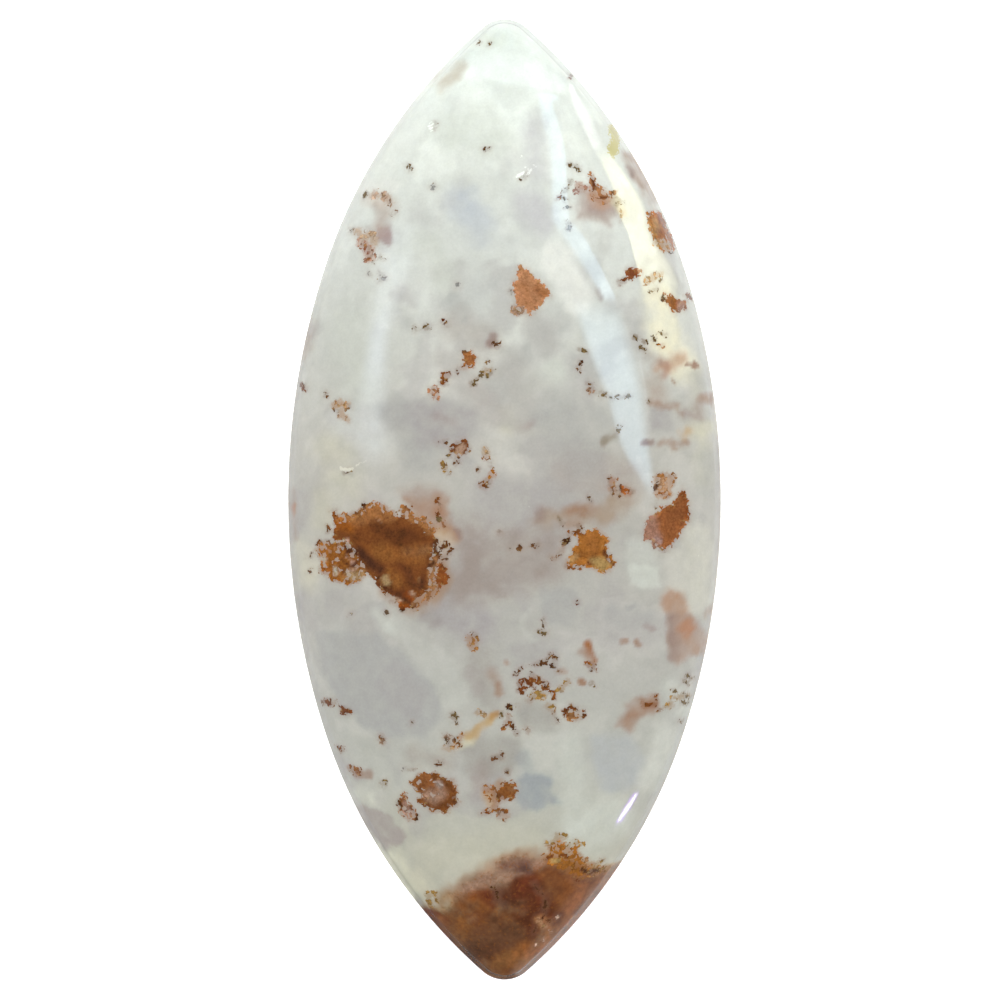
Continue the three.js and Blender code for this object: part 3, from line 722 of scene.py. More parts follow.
    (BARK, 0.3, 0.09, (-0.45, 8.05)),
    (BARK, 0.2, 0.1, (-0.38, 7.8), (-0.28, 7.9)),
    (PINK_TAN, 0.0, 0, (-2.7, 2.6), (-2.45, 2.8), (-2.1, 2.98), (-2.0, 2.9), (-1.8, 2.5),
     (-1.95, 2.35), (-2.2, 2.25), (-2.5, 2.3)),
    (DARK_RUST, 0.2, 0.1, (-2.6, 2.45), (-2.65, 2.6), (-2.4, 2.8), (-2.1, 2.92)),
    (DARK_RUST, 0.2, 0.09, (-1.95, 2.75), (-1.85, 2.5), (-2.0, 2.4)),
    (MAROON, 0.05, 0.1, (-3.36, 2.93)),
    (BARK, 0.15, 0.1, (-3.0, 2.85)),
    (UMBER, 0.2, 0.11, (-2.5, 1.9), (-2.35, 1.98)),
    (OLIVE, 0.5, 0.08, (-2.85, 2.2)),
    (TAN, 0.6, 0.14, (-1.0, 2.5), (-0.85, 2.35)),
    (RUST, 0.25, 0.1, (-1.0, 2.25), (-0.88, 2.12)),
    (BARK, 0.1, 0.07, (-0.65, 1.9), (-0.63, 1.6)),
    (AMBER, 0.3, 0.12, (-0.6, 1.3), (-0.75, 1.05)),
    (RUST, 0.4, 0.1, (-0.95, 0.9), (-1.2, 0.75)),
    (BARK, 0.3, 0.08, (-0.95, 0.68), (-0.75, 0.85)),
    (BARK, 0.2, 0.09, (-1.35, 1.53)),
    (GOLD, 0.4, 0.08, (-3.15, 1.8), (-3.05, 1.45)),
    (BARK, 0.3, 0.08, (-2.85, 1.36)),
    # left
    ((206, 164, 120), 0.8, 0.15, (-8.6, 4.75), (-8.35, 4.95), (-8.05, 4.85)),
    ((206, 174, 142), 0.8, 0.14, (-8.35, 4.6), (-8.3, 4.3), (-8.1, 4.15)),
    (BARK, 0.4, 0.08, (-8.6, 4.6), (-8.5, 4.5)),
    (BARK, 0.2, 0.08, (-7.95, 4.8)),
    (DARK_RUST, 0.2, 0.1, (-10.35, 5.8), (-10.22, 5.65)),
    (BARK, 0.1, 0.09, (-9.15, 5.38), (-9.13, 5.28)),
    # middle right
    (SPECK, 0.1, 0.07, (3.87, 6.95), (3.8, 6.85)),
    (BARK, 0.3, 0.08, (3.8, 6.65)),
    (OLIVE, 0.4, 0.05, (3.75, 7.65), (4.1, 7.5)),
    (UMBER, 0.1, 0.09, (4.3, 5.97), (4.45, 5.88)),
    (PINK_BROWN, 0.35, 0.11, (4.35, 5.65), (4.45, 5.5)),
    (OLIVE, 0.3, 0.05, (4.9, 5.4), (5.2, 5.33)),
    (OLIVE, 0.2, 0.08, (5.4, 5.2), (5.55, 5.05)),
    (OLIVE, 0.4, 0.04, (5.75, 5.25), (5.95, 5.15), (6.4, 5.3)),
    (OLIVE, 0.2, 0.08, (5.95, 3.75), (5.85, 3.6)),
    (OLIVE, 0.2, 0.09, (7.3, 4.95)),
    # lower middle: branching crumbs, and the dots all round them
    (UMBER, 0.15, 0.06, (1.2, -8.52), (1.75, -8.4), (2.05, -8.4)),
    (SPECK, 0.1, 0.09, (1.75, -8.48), (1.95, -8.35)),
    (BARK, 0.35, 0.07, (2.0, -8.3), (2.35, -8.0), (2.65, -8.1)),
    (SPECK, 0.1, 0.09, (2.5, -8.5)),
    (UMBER, 0.25, 0.09, (0.6, -9.0), (0.85, -8.7)),
    (SPECK, 0.15, 0.11, (1.35, -8.95), (1.45, -9.1)),
    (RUST, 0.2, 0.18, (1.45, -9.15), (1.8, -9.3), (2.1, -9.5)),
    (SPECK, 0.2, 0.08, (2.0, -9.35), (2.1, -9.55)),
    (DARK_RUST, 0.35, 0.09, (0.75, -9.3), (1.2, -9.35), (1.5, -9.6)),
    (DARK_RUST, 0.3, 0.14, (0.9, -9.4), (0.8, -9.75)),
    (GOLD, 0.45, 0.11, (1.75, -9.9), (2.0, -10.0), (1.4, -10.1)),
    (PINK_BROWN, 0.3, 0.09, (1.2, -10.2), (1.35, -10.3)),
    (RUST, 0.3, 0.11, (2.4, -9.8), (2.55, -10.1)),
    (GOLD, 0.4, 0.09, (2.75, -9.7), (3.3, -9.3)),
    (PINK_BROWN, 0.3, 0.09, (2.8, -8.75)),
    (OLIVE, 0.4, 0.07, (4.4, -9.4), (4.5, -9.45)),
    (GOLD, 0.15, 0.14, (2.2, -10.55), (2.45, -10.55)),
    (PINK_BROWN, 0.35, 0.09, (2.5, -10.8)),
    (GREY_BARK, 0.1, 0.08, (2.58, -11.15), (2.66, -11.3)),
    ((166, 118, 74), 0.25, 0.24, (3.3, -10.95), (3.7, -11.05)),
    (DARK_RUST, 0.15, 0.12, (3.4, -10.55), (3.75, -10.75), (4.05, -10.95)),
    (DARK_RUST, 0.3, 0.1, (3.1, -10.7), (3.15, -11.0)),
    (SPECK, 0.1, 0.1, (4.05, -10.95)),
    (OLIVE, 0.3, 0.07, (3.85, -11.2)),
    (SPECK, 0.05, 0.14, (0.2, -10.6), (0.28, -10.7)),
    (RUST, 0.25, 0.12, (0.18, -11.1), (0.25, -11.45), (0.0, -11.6)),
    (UMBER, 0.15, 0.08, (0.35, -11.4), (0.5, -11.65), (0.7, -11.98)),
    (GREY_BARK, 0.1, 0.08, (0.62, -10.57)),
    (PINK_BROWN, 0.4, 0.08, (1.15, -11.7), (1.25, -11.85)),
    (OLIVE, 0.2, 0.08, (-0.35, -10.87), (-0.1, -11.1)),
    (TAN, 0.5, 0.06, (-1.45, -10.9), (-1.1, -11.0)),
    (AMBER, 0.3, 0.11, (-2.2, -12.1), (-2.35, -12.4), (-2.5, -12.55)),
    (BARK, 0.25, 0.08, (-2.45, -12.2), (-2.35, -12.5)),
    (PINK_BROWN, 0.25, 0.18, (-2.95, -12.1), (-2.8, -12.2)),
    (GREY_BARK, 0.3, 0.08, (-3.0, -12.15), (-2.85, -12.45)),
    (TAN, 0.35, 0.08, (-3.1, -12.75), (-2.6, -12.72)),
    (UMBER, 0.1, 0.12, (-3.42, -13.52), (-3.3, -13.45)),
    (BARK, 0.3, 0.07, (-4.75, -13.8), (-4.55, -13.75)),
    (GREY, 0.3, 0.08, (-5.15, -13.75)),
    (GREY_BARK, 0.1, 0.08, (-4.73, -11.4)),
    (GREY_BARK, 0.1, 0.08, (-2.45, -11.45)),
    (OLIVE, 0.45, 0.11, (-2.65, -10.95), (-2.45, -11.1)),
    (PINK_BROWN, 0.3, 0.16, (-6.25, -12.2), (-6.15, -12.4)),
    (BARK, 0.3, 0.08, (-6.3, -12.15)),
    (OLIVE, 0.3, 0.07, (-6.3, -14.5), (-6.1, -14.45)),
    (BARK, 0.35, 0.1, (-0.45, -13.15), (-0.2, -13.2), (-0.2, -13.0)),
    (BARK, 0.2, 0.08, (0.1, -13.85), (0.17, -14.05)),
    ((182, 130, 78), 0.5, 0.22, (-1.65, -7.1), (-1.6, -7.4)),
    (BARK, 0.25, 0.08, (-1.7, -6.95), (-1.5, -6.95)),
    (SPECK, 0.05, 0.09, (0.26, -2.53)),
    (BARK, 0.05, 0.1, (0.68, -2.48), (0.76, -2.5)),
    (BARK, 0.2, 0.1, (1.5, -2.45), (1.65, -2.4)),
    (BARK, 0.4, 0.08, (-0.25, -1.65)),
    (MAROON, 0.0, 0.1, (3.72, -5.25), (3.8, -5.25)),
    (GREY_BARK, 0.2, 0.08, (-6.0, -5.75)),
    (GREY, 0.2, 0.08, (-7.86, -5.87)),
    # painted shadow: a dark line along the lower side of the bright crack on the left
    (GREY_BARK, 0.3, 0.05, (-8.15, 1.36), (-7.9, 1.42)),
    (GREY_BARK, 0.1, 0.08, (2.0, -6.15)),
    (GREY_BARK, 0.1, 0.08, (2.05, -6.47)),
    (OLIVE, 0.2, 0.08, (1.85, -6.8), (2.1, -6.8)),
    (RUST, 0.35, 0.09, (4.25, -8.45), (4.5, -8.4), (4.6, -8.65)),
    (SPECK, 0.1, 0.09, (4.4, -8.7)),
    (RUST, 0.35, 0.09, (7.65, -10.0), (7.75, -10.15)),
    (RUST, 0.45, 0.07, (7.1, -10.45), (7.7, -10.4), (7.85, -10.7)),
    (OLIVE, 0.35, 0.09, (9.35, -8.98), (9.5, -9.08)),
    (OLIVE, 0.4, 0.07, (9.15, -9.25), (9.4, -9.4)),
    (OLIVE, 0.1, 0.09, (8.68, -9.75), (8.75, -9.8)),
    (GOLD, 0.65, 0.08, (8.65, -10.1), (9.0, -10.1), (9.3, -10.0)),
    (OLIVE, 0.3, 0.08, (9.2, -9.95), (9.3, -10.1)),
    (OLIVE, 0.35, 0.08, (9.1, -10.35), (9.3, -10.35)),
    (GOLD, 0.6, 0.07, (8.2, -10.6), (8.55, -10.45)),
    (OLIVE, 0.2, 0.08, (9.0, -11.3)),
    # lower left edge
    (DARK_RUST, 0.3, 0.14, (-9.1, -10.3), (-8.75, -10.4)),
    (DARK_RUST, 0.3, 0.16, (-8.25, -10.75), (-8.05, -10.85)),
    (DARK_RUST, 0.3, 0.12, (-8.4, -12.65), (-8.3, -12.75)),
    ((146, 92, 46), 0.3, 0.19, (-7.78, -13.72), (-7.5, -13.92)),
    # veins, nodule and bright grains in the brown end
    (SPECK, 0.0, 0.04, (-0.96, -19.65), (-0.6, -19.83), (-0.3, -20.0), (-0.35, -20.4),
     (-0.1, -20.6)),
    (SPECK, 0.0, 0.03, (1.48, -19.65), (1.97, -20.14), (2.1, -20.63), (1.97, -21.24), (1.6, -21.7),
     (1.48, -22.1)),
    (UMBER, 0.1, 0.05, (2.1, -21.5), (2.3, -21.45)),
    ((176, 132, 96), 0.2, 0.16, (1.75, -21.5), (2.0, -21.75)),
    (PALE_FLESH, 0.0, 0.05, (2.66, -21.27)),
    (PALE_FLESH, 0.0, 0.04, (2.28, -22.04), (2.3, -22.1)),
    (PALE_FLESH, 0.0, 0.04, (1.97, -22.47)),
    (PALE_FLESH, 0.0, 0.05, (1.6, -22.65)),
    (GOLD, 0.0, 0.05, (-1.75, -21.4), (-1.6, -21.3)),
    # amber tuft on the brown end
    ((182, 118, 48), 0.6, 0, (2.05, -17.6), (2.35, -17.55), (2.6, -17.3), (2.75, -17.15),
     (2.9, -17.25), (2.95, -17.5), (3.3, -17.75), (3.65, -17.6), (3.8, -18.0), (4.0, -18.25),
     (4.4, -18.5), (4.8, -18.6), (5.0, -18.75), (5.1, -19.0), (4.7, -19.1), (4.2, -19.2),
     (3.8, -19.3), (3.5, -19.4), (3.3, -19.1), (3.0, -18.9), (2.5, -18.7), (2.2, -18.5),
     (1.9, -18.5), (2.0, -18.2), (2.3, -18.1), (2.25, -17.85)),
    (GOLD, 0.45, 0.07, (2.1, -17.55), (2.5, -17.5), (2.75, -17.15), (3.1, -17.15)),
    (GOLD, 0.5, 0.07, (3.1, -17.7), (3.55, -17.45), (3.95, -17.6)),
    (GOLD, 0.45, 0.08, (4.6, -18.7), (5.0, -18.45)),
    (GOLD, 0.5, 0.08, (4.9, -18.85), (5.4, -18.85)),
    (DARK_RUST, 0.25, 0.08, (2.8, -18.15), (3.2, -18.25)),
    (DARK_RUST, 0.3, 0.08, (2.05, -18.35), (2.4, -18.15)),
    (UMBER, 0.3, 0.12, (4.0, -18.85), (4.3, -19.0), (4.7, -18.9)),
    (DARK_RUST, 0.3, 0.11, (3.45, -19.25), (3.7, -19.4)),
    (PALE_AMBER, 0.15, 0.13, (2.45, -18.4), (2.75, -18.45)),
    (GOLD, 0.5, 0.11, (-3.9, -20.15), (-3.5, -20.2), (-3.4, -20.45)),
    (GOLD, 0.5, 0.1, (-3.85, -20.4), (-3.8, -20.65)),
)

# Tones inside the crisp plumes, in the terms of the soft shapes
PLUME_TONES = (
    # the large plume
    ((176, 102, 34), 0.8, 0.25, 0.28, (-8.5, -1.2), (-7.9, -1.35)),
    ((172, 108, 58), 0.7, 0.25, 0.28, (-7.0, -0.75), (-6.0, -0.75)),
    ((166, 106, 50), 0.9, 0.4, 0.45, (-6.4, -2.7), (-4.4, -2.85)),
    ((168, 116, 70), 0.8, 0.3, 0.22, (-5.0, -2.7), (-4.0, -2.6)),
    ((112, 64, 30), 0.95, 0.22, 0, (-6.8, -1.1), (-5.95, -1.25), (-5.1, -1.4), (-4.55, -1.7),
     (-4.5, -2.15), (-5.0, -2.4), (-5.6, -2.35), (-6.1, -1.85), (-6.7, -1.5)),
    ((94, 54, 34), 0.95, 0.25, 0.24, (-7.4, -2.7), (-6.95, -3.1), (-6.4, -3.65)),
    ((188, 128, 74), 0.8, 0.25, 0.3, (-7.5, -1.0), (-6.6, -0.7), (-5.9, -0.9)),
    ((216, 184, 154), 0.85, 0.08, 0.09, (-5.6, -5.0), (-5.3, -5.15)),
    ((216, 184, 154), 0.85, 0.08, 0.07, (-4.75, -4.75), (-4.6, -4.85)),
    ((104, 58, 30), 0.8, 0.08, 0.07, (-6.5, -4.2), (-6.05, -4.55), (-5.6, -4.8), (-5.2, -5.0),
     (-4.8, -5.3)),
    ((164, 106, 50), 0.7, 0.2, 0.25, (-5.9, -3.7), (-5.5, -4.2)),
    ((112, 62, 34), 0.7, 0.14, 0.12, (-5.3, -3.4), (-5.1, -3.55)),
    ((98, 56, 34), 0.8, 0.2, 0.2, (-4.9, -3.9), (-4.6, -4.4)),
    ((96, 54, 32), 0.8, 0.1, 0.09, (-4.2, -3.9), (-4.13, -4.35), (-4.3, -4.6)),
    ((188, 160, 120), 0.8, 0.07, 0.08, (-4.38, -4.05), (-4.36, -4.2)),
    ((198, 170, 122), 0.85, 0.1, 0.16, (-6.1, -4.0), (-6.0, -4.2)),
    ((190, 122, 58), 0.7, 0.15, 0.2, (-9.3, -2.4), (-9.0, -2.6)),
    ((180, 104, 40), 0.8, 0.1, 0.13, (-9.25, -3.62), (-9.1, -3.7)),
    ((192, 160, 116), 0.8, 0.15, 0.22, (-8.0, -3.85), (-7.35, -3.9)),
    ((100, 54, 34), 0.9, 0.06, 0.05, (-8.0, -2.42), (-8.25, -2.5), (-8.38, -2.8), (-8.2, -3.2),
     (-7.8, -3.4), (-7.55, -3.2), (-7.55, -2.85), (-7.8, -2.6), (-8.05, -2.75)),
    ((106, 58, 32), 0.8, 0.06, 0.05, (-8.5, -3.3), (-8.25, -3.5), (-8.3, -3.75), (-8.0, -3.95)),
    ((218, 180, 160), 0.9, 0.06, 0.08, (-8.0, -2.95), (-7.8, -3.15)),
    ((214, 190, 150), 0.8, 0.07, 0.09, (-8.65, -2.4), (-8.55, -2.6)),
    ((214, 196, 166), 0.9, 0.07, 0.09, (-9.3, -3.0), (-9.15, -3.1)),
    ((210, 200, 174), 0.9, 0.08, 0.09, (-8.66, -3.55), (-8.62, -3.85)),
    ((216, 180, 158), 0.8, 0.06, 0.06, (-8.2, -2.08), (-8.0, -2.15)),
    ((212, 176, 150), 0.8, 0.05, 0.05, (-7.95, -3.6), (-7.6, -3.5)),
    ((226, 186, 150), 0.8, 0.05, 0.06, (-6.89, -0.38)),
    ((216, 170, 132), 0.8, 0.05, 0.05, (-6.55, -1.0), (-6.3, -1.12)),
    # terracotta plume
    ((184, 126, 82), 0.5, 0.2, 0.2, (0.9, 10.9), (1.2, 10.4)),
    ((196, 140, 100), 0.8, 0.08, 0.08, (0.75, 11.1), (0.95, 11.2)),
    ((166, 104, 58), 0.6, 0.25, 0.2, (1.7, 10.7), (2.1, 10.4)),
    # crescent
    ((184, 138, 116), 0.95, 0.22, 0, (7.0, -0.6), (7.7, -0.6), (7.9, -1.3), (8.0, -2.0),
     (7.9, -2.8), (7.0, -2.4)),
    ((200, 166, 156), 0.8, 0.08, 0.08, (7.7, -2.05), (7.95, -2.2)),
    ((196, 156, 132), 0.5, 0.1, 0.06, (7.55, -1.05), (7.65, -1.3)),
    ((134, 70, 22), 0.8, 0.16, 0.12, (9.1, 0.3), (9.35, -0.4), (9.35, -0.9)),
    ((160, 100, 50), 0.6, 0.16, 0.14, (8.0, -0.6), (8.5, -0.45)),
    ((168, 100, 52), 0.6, 0.12, 0.1, (8.75, -1.2), (8.9, -1.35)),
    ((204, 150, 94), 0.8, 0.08, 0.06, (9.3, -1.15), (9.25, -1.25)),
    # amber plume
    ((186, 122, 60), 0.6, 0.3, 0.25, (4.3, -1.9), (4.5, -2.4)),
    (PALE_AMBER, 0.95, 0.14, 0, (4.3, -3.0), (5.1, -2.95), (5.4, -3.3), (5.1, -3.65), (4.6, -3.5)),
    ((170, 110, 50), 0.8, 0.15, 0.12, (3.9, -2.75), (4.8, -2.8)),
    ((198, 164, 112), 0.6, 0.14, 0.12, (3.35, -3.15), (3.6, -2.9)),
    # ring-like plume and its neighbours
    ((188, 152, 128), 0.9, 0.22, 0.34, (-3.75, -15.15), (-3.3, -15.1)),
    ((180, 162, 150), 0.9, 0.14, 0.13, (-3.4, -14.5), (-3.3, -14.65)),
    ((178, 146, 130), 0.7, 0.14, 0.16, (-5.0, -15.5), (-5.0, -16.0)),
    ((190, 150, 132), 0.6, 0.15, 0.12, (-5.05, -16.05), (-4.8, -16.1)),
    ((132, 84, 44), 0.7, 0.18, 0.16, (-0.4, -15.0), (-0.15, -15.1)),
    ((180, 136, 92), 0.7, 0.1, 0.08, (0.3, -14.75), (0.45, -14.8)),
    # upper right
    ((176, 140, 122), 0.9, 0.16, 0.2, (9.05, 9.95), (8.95, 9.7)),
    ((208, 164, 104), 0.8, 0.15, 0.18, (7.65, 14.2), (7.75, 13.6)),
    ((164, 78, 8), 0.9, 0.15, 0.2, (8.3, 14.3), (8.6, 13.5), (8.85, 12.9)),
    # amber tuft on the brown end
    ((196, 160, 130), 0.6, 0.14, 0.16, (4.1, -18.2), (4.3, -18.5)),
)

# Pits and cracks whose glint is painted white, and a yellowish crystal pocket with its sparkle
# painted bright yellow: radius and points as above
FLAW_GLINTS = (
    (0.1, (-3.85, 19.05), (-3.72, 18.85)),
    (0.07, (-3.72, 19.22), (-3.62, 19.12)),
    (0.1, (0.65, 16.5), (0.95, 16.65)),
    (0.07, (1.05, 16.95), (1.2, 16.85)),
    (0.07, (1.15, 16.55), (1.4, 16.85)),
    (0.09, (0.85, 17.5)),
    (0.06, (1.45, 17.1), (1.6, 16.95)),
    (0.12, (-8.35, 1.6), (-8.1, 1.48), (-7.85, 1.5)),
    (0.05, (-7.75, 1.6), (-7.3, 1.9), (-6.9, 1.95)),
    (0.08, (9.92, -2.85)),
    (0.08, (1.3, -0.4)),
    (0.08, (-2.46, -12.77)),
    (0.07, (0.02, -22.63)),
    (0.07, (-0.52, -21.65)),
    (0.05, (2.78, -21.27)),
    (0.06, (-0.22, -16.3)),
)
YELLOW_POCKET_GLINT = (0, (5.26, 19.15), (5.52, 19.15), (5.77, 18.77), (5.94, 18.35), (5.85, 17.67),
                (5.52, 17.34), (5.26, 17.67), (5.22, 18.01), (5.43, 18.35), (5.26, 18.77))


def linear(colour):
    """Screen values from 0 to 255 as linear shares of light."""
    value = np.asarray(colour, float) / 255
    return np.where(value <= 0.04045, value / 12.92, ((value + 0.055) / 1.055) ** 2.4)


# Hash of the noise lattice: the fraction of HASH_SIZE sin(corner . HASH_WAY + seed HASH_SEED)
HASH_WAY = (12.9898, 78.233, 37.719)
HASH_SEED = 4.1414
HASH_SIZE = 43758.5453


def lattice_noise(place, wavelength, seed):
    """Smooth random values, -1 to 1: hashed corners of a cubic lattice, blended by 3t^2 - 2t^3."""
    scaled = place / wavelength
    cell = np.floor(scaled)
    part = scaled - cell
    fade = part * part * (3 - 2 * part)
    total = np.zeros(len(place))
    for corner in itertools.product((0, 1), repeat=3):
        at = (cell + corner) @ HASH_WAY + seed * HASH_SEED
        value = np.sin(at) * HASH_SIZE
        weight = np.prod(np.where(corner, fade, 1 - fade), axis=1)
        total += weight * (value - np.floor(value))
    return 2 * total - 1


def layered_noise(place, wavelength, seed, layers=4):
    """Lattice noise summed over layers, each half as wide and half as strong as the last."""
    total = sum(
        lattice_noise(place, wavelength / 2**k, seed + k) / 2**k for k in range(layers)
    )
    usual_spread = 1.4
    return total / usual_spread


def shifted(place, wavelength, reach, seed, layers=2):
    """Points moved sideways by noise, so that plain shapes read at them get natural edges.

    The noise along Y has a seed of its own.
    """
    moved = place.copy()
    moved[:, 0] += reach * layered_noise(place, wavelength, seed, layers)
    moved[:, 1] += reach * layered_noise(place, wavelength, seed + 50, layers)
    return moved


def smooth_step(low, high, value):
    """0 below low, 1 above high, and 3t^2 - 2t^3 between them."""
    t = np.clip((value - low) / (high - low), 0, 1)
    return t * t * (3 - 2 * t)


def shape_depth(place, radius, *corners):
    """How deep points lie in a shape, in mm, below zero outside.

    For a line it is the radius minus the distance to the nearest segment. For an area it is the
    distance to the nearest side, inside where a ray along X crosses an odd number of sides.
    """
    corners = np.array(corners, float)
    if radius == 0:
        corners = np.vstack([corners, corners[:1]])
    nearest = np.hypot(place[:, 0] - corners[0, 0], place[:, 1] - corners[0, 1])
    inside = np.zeros(len(place), bool)
    for start, end in zip(corners[:-1], corners[1:]):
        way = end - start
        offset = place[:, :2] - start
        share = np.clip(offset @ way / (way @ way), 0, 1)
        away = offset - share[:, None] * way
        nearest = np.minimum(nearest, np.hypot(away[:, 0], away[:, 1]))
        between = (start[1] > place[:, 1]) != (end[1] > place[:, 1])
        if way[1] != 0:
            inside ^= between & (offset[:, 0] < offset[:, 1] * way[0] / way[1])
    if radius == 0:
        return np.where(inside, nearest, -nearest)
    return radius - nearest


def close_to(place, margin, radius, *corners):
    """Which points lie within that margin of a shape's bounding box."""
    low = np.min(corners, axis=0) - radius - margin
    high = np.max(corners, axis=0) + radius + margin
    return np.flatnonzero(np.all((place[:, :2] > low) & (place[:, :2] < high), axis=1))


def paint_soft(colour, place, shapes, mottle):
    """Lays blurred shapes over the colours in place, stronger where the mottle noise is high.

    The mottle also moves their edges, in mm. The colours change in the array that is handed in.
    """
    edge_mottle = 0.12
    strength_mottle = 0.35
    for tint, strength, blur, *shape in shapes:
        near = close_to(place, blur, *shape)
        depth = shape_depth(place[near], *shape) + edge_mottle * mottle[near]
        share = smooth_step(-blur, blur, depth)
        share *= np.clip(strength * (1 + strength_mottle * mottle[near]), 0, 1)
        colour[near] += (linear(tint) - colour[near]) * share[:, None]


def cloudy_milk(place, mottle):
    """The milk's colour by its place along the stone, paler towards the tip partly as painted
    light, mottled, with lilac and pale clouds.

    Both kinds of cloud are noise past a threshold. The lilac ones fade out towards the pale tip.
    """
    heights, tones = zip(*MILK_AND_LIGHT_STOPS)
    tones = linear(tones)
    colour = np.stack([np.interp(place[:, 1], heights, tones[:, k]) for k in range(3)], axis=1)
    broad_change = 0.06 * layered_noise(place, 4.0, seed=11)
    fine_change = 0.035 * mottle
    colour *= (1 + broad_change + fine_change)[:, None]
    cloud_place = shifted(place, 1.6, reach=0.5, seed=61, layers=4)
    lilac = smooth_step(0.05, 0.42, layered_noise(cloud_place, 2.2, seed=31))
    lilac_strength = 0.30 * (1 - smooth_step(12, 19, place[:, 1])) + 0.08
    colour += (linear(LILAC) - colour) * (lilac_strength * lilac)[:, None]
    pale = smooth_step(0.06, 0.36, layered_noise(cloud_place, 1.9, seed=36))
    pale_gain = 0.08
    colour *= (1 + pale_gain * pale)[:, None]
    return colour


def milk_colour(place):
    """At each point, the colour with everything that is blurred, and how stained it is, 0 to 1.

    The soft shapes and then the brown stain are painted over the cloudy milk. Both take away
    blue most, so the share of blue that is gone tells how stained a point is.
    """
    mottle = layered_noise(place, 0.9, seed=21)
    grain = layered_noise(place, 0.55, seed=41, layers=3)
    colour = cloudy_milk(place, mottle)
    clear = colour[:, 2].copy()
    paint_soft(colour, shifted(place, 0.9, reach=0.22, seed=71, layers=4), SOFT_SHAPES, grain)
    bare = colour[:, 2].copy()
    paint_soft(colour, shifted(place, 1.3, reach=0.42, seed=81, layers=4), STAIN_SHAPES, mottle)
    stained = np.clip(3 * (1 - colour[:, 2] / bare), 0, 1)
    # the stain is cloudier than the milk and takes away most blue and least red
    texture = 0.22 * mottle + 0.30 * grain - 0.08
    taken = (0.02, 0.26, 0.60)
    colour *= np.exp(stained[:, None] * (texture[:, None] - taken))
    blurred = np.clip(2.2 * (1 - bare / clear) - 0.1, 0, 1)
    return np.column_stack([colour, np.maximum(0.5 * blurred, stained)])


def plume_fields(place):
    """At each point, the colour of the nearest crisp plume, its depth in mm and its lace.

    A later shape covers an earlier one with a soft border, and outside them all the nearest
    shape counts, so that crumbs and fringes round a plume have its colour.
    """
    place = shifted(place, 0.7, reach=0.09, seed=91)
    far_off = -1.0
    margin = 0.8
    border_start = -0.06
    border_end = 0.03
    pigment = np.tile(linear(RUST), (len(place), 1))
    depth = np.full(len(place), far_off)
    lace = np.zeros(len(place))
    for tint, lacy, *shape in CRISP_SHAPES:
        near = close_to(place, margin, *shape)
        here = shape_depth(place[near], *shape)
        old = depth[near]
        covers = here > np.minimum(old, 0)
        share = np.where(covers, smooth_step(border_start, border_end, here), 0)
        share = np.where((old < -border_end) & (here > old), 1, share)
        pigment[near] += (linear(tint) - pigment[near]) * share[:, None]
        lace[near] += (lacy - lace[near]) * share
        depth[near] = np.maximum(old, here)
    paint_soft(pigment, place, PLUME_TONES, layered_noise(place, 0.5, seed=95, layers=3))
    return pigment, depth, lace


def seen_flat(place):
    """Points moved in X and Y to where the eye sees them over the level of the outline.

    Their way from the eye's axis grows as the eye's height over them shrinks.
    """
    share = (EYE[2] - BACK_BEVEL) / (EYE[2] - place[:, 2:])
    return np.column_stack([EYE[:2] + (place[:, :2] - EYE[:2]) * share, place[:, 2]])


def store(piece, name, values):
    """Keeps three or four numbers at each corner under a name that the finish reads."""
    if values.shape[1] == 3:
        values = np.column_stack([values, np.ones(len(values))])
    layer = piece.data.attributes.new(name, "FLOAT_COLOR", "POINT")
    layer.data.foreach_set("color", values.astype(np.float32).ravel())


def paint_stone(piece):
    """Stores the milk, the pigment and the fields of the plumes and of the painted glints of the
    flaws and the yellow pocket at each corner.

    The crisp plumes get thinner over the lowest millimetre, towards the back.
    """
    thinning = 0.3
    place = np.empty(3 * len(piece.data.vertices))
    piece.data.vertices.foreach_get("co", place)
    place = seen_flat(place.reshape(-1, 3) / MM)
    store(piece, "milk", milk_colour(place) / (LIGHT, LIGHT, LIGHT, 1))
    pigment, depth, lace = plume_fields(place)
    depth -= thinning * np.clip(1 - place[:, 2], 0, 1)
    store(piece, "pigment", pigment / PIGMENT_LIGHT)
    # painted glints: how deep each point lies in the bright flaws and in the yellow pocket
    white = np.max([shape_depth(place, *flaw_glint) for flaw_glint in FLAW_GLINTS], axis=0)
    yellow = shape_depth(place, *YELLOW_POCKET_GLINT)
    store(piece, "plume", np.column_stack([depth, lace, white, yellow]))


class Reading:
    """A number or colour that changes over a surface: an output socket with + - * as nodes."""

    def __init__(self, finish, socket):
        self.finish = finish
        self.socket = socket

    def _maths(self, operation, first, second):
        return self.finish.node("Math", {"operation": operation}, {0: first, 1: second})

    def __add__(self, other):
        return self._maths("ADD", self, other)

    def __radd__(self, other):
        return self._maths("ADD", other, self)

    def __sub__(self, other):
        return self._maths("SUBTRACT", self, other)

    def __rsub__(self, other):
        return self._maths("SUBTRACT", other, self)

    def __mul__(self, other):
        return self._maths("MULTIPLY", self, other)

    def __rmul__(self, other):
        return self._maths("MULTIPLY", other, self)

    def __abs__(self):
        return self._maths("ABSOLUTE", self, 0)

    def between(self, low, high):
        """0 below low, 1 above high, and a smooth rise from one to the other."""
        settings = {"interpolation_type": "SMOOTHSTEP"}
        return self.finish.node("MapRange", settings, {"Value": self, 1: low, 2: high})


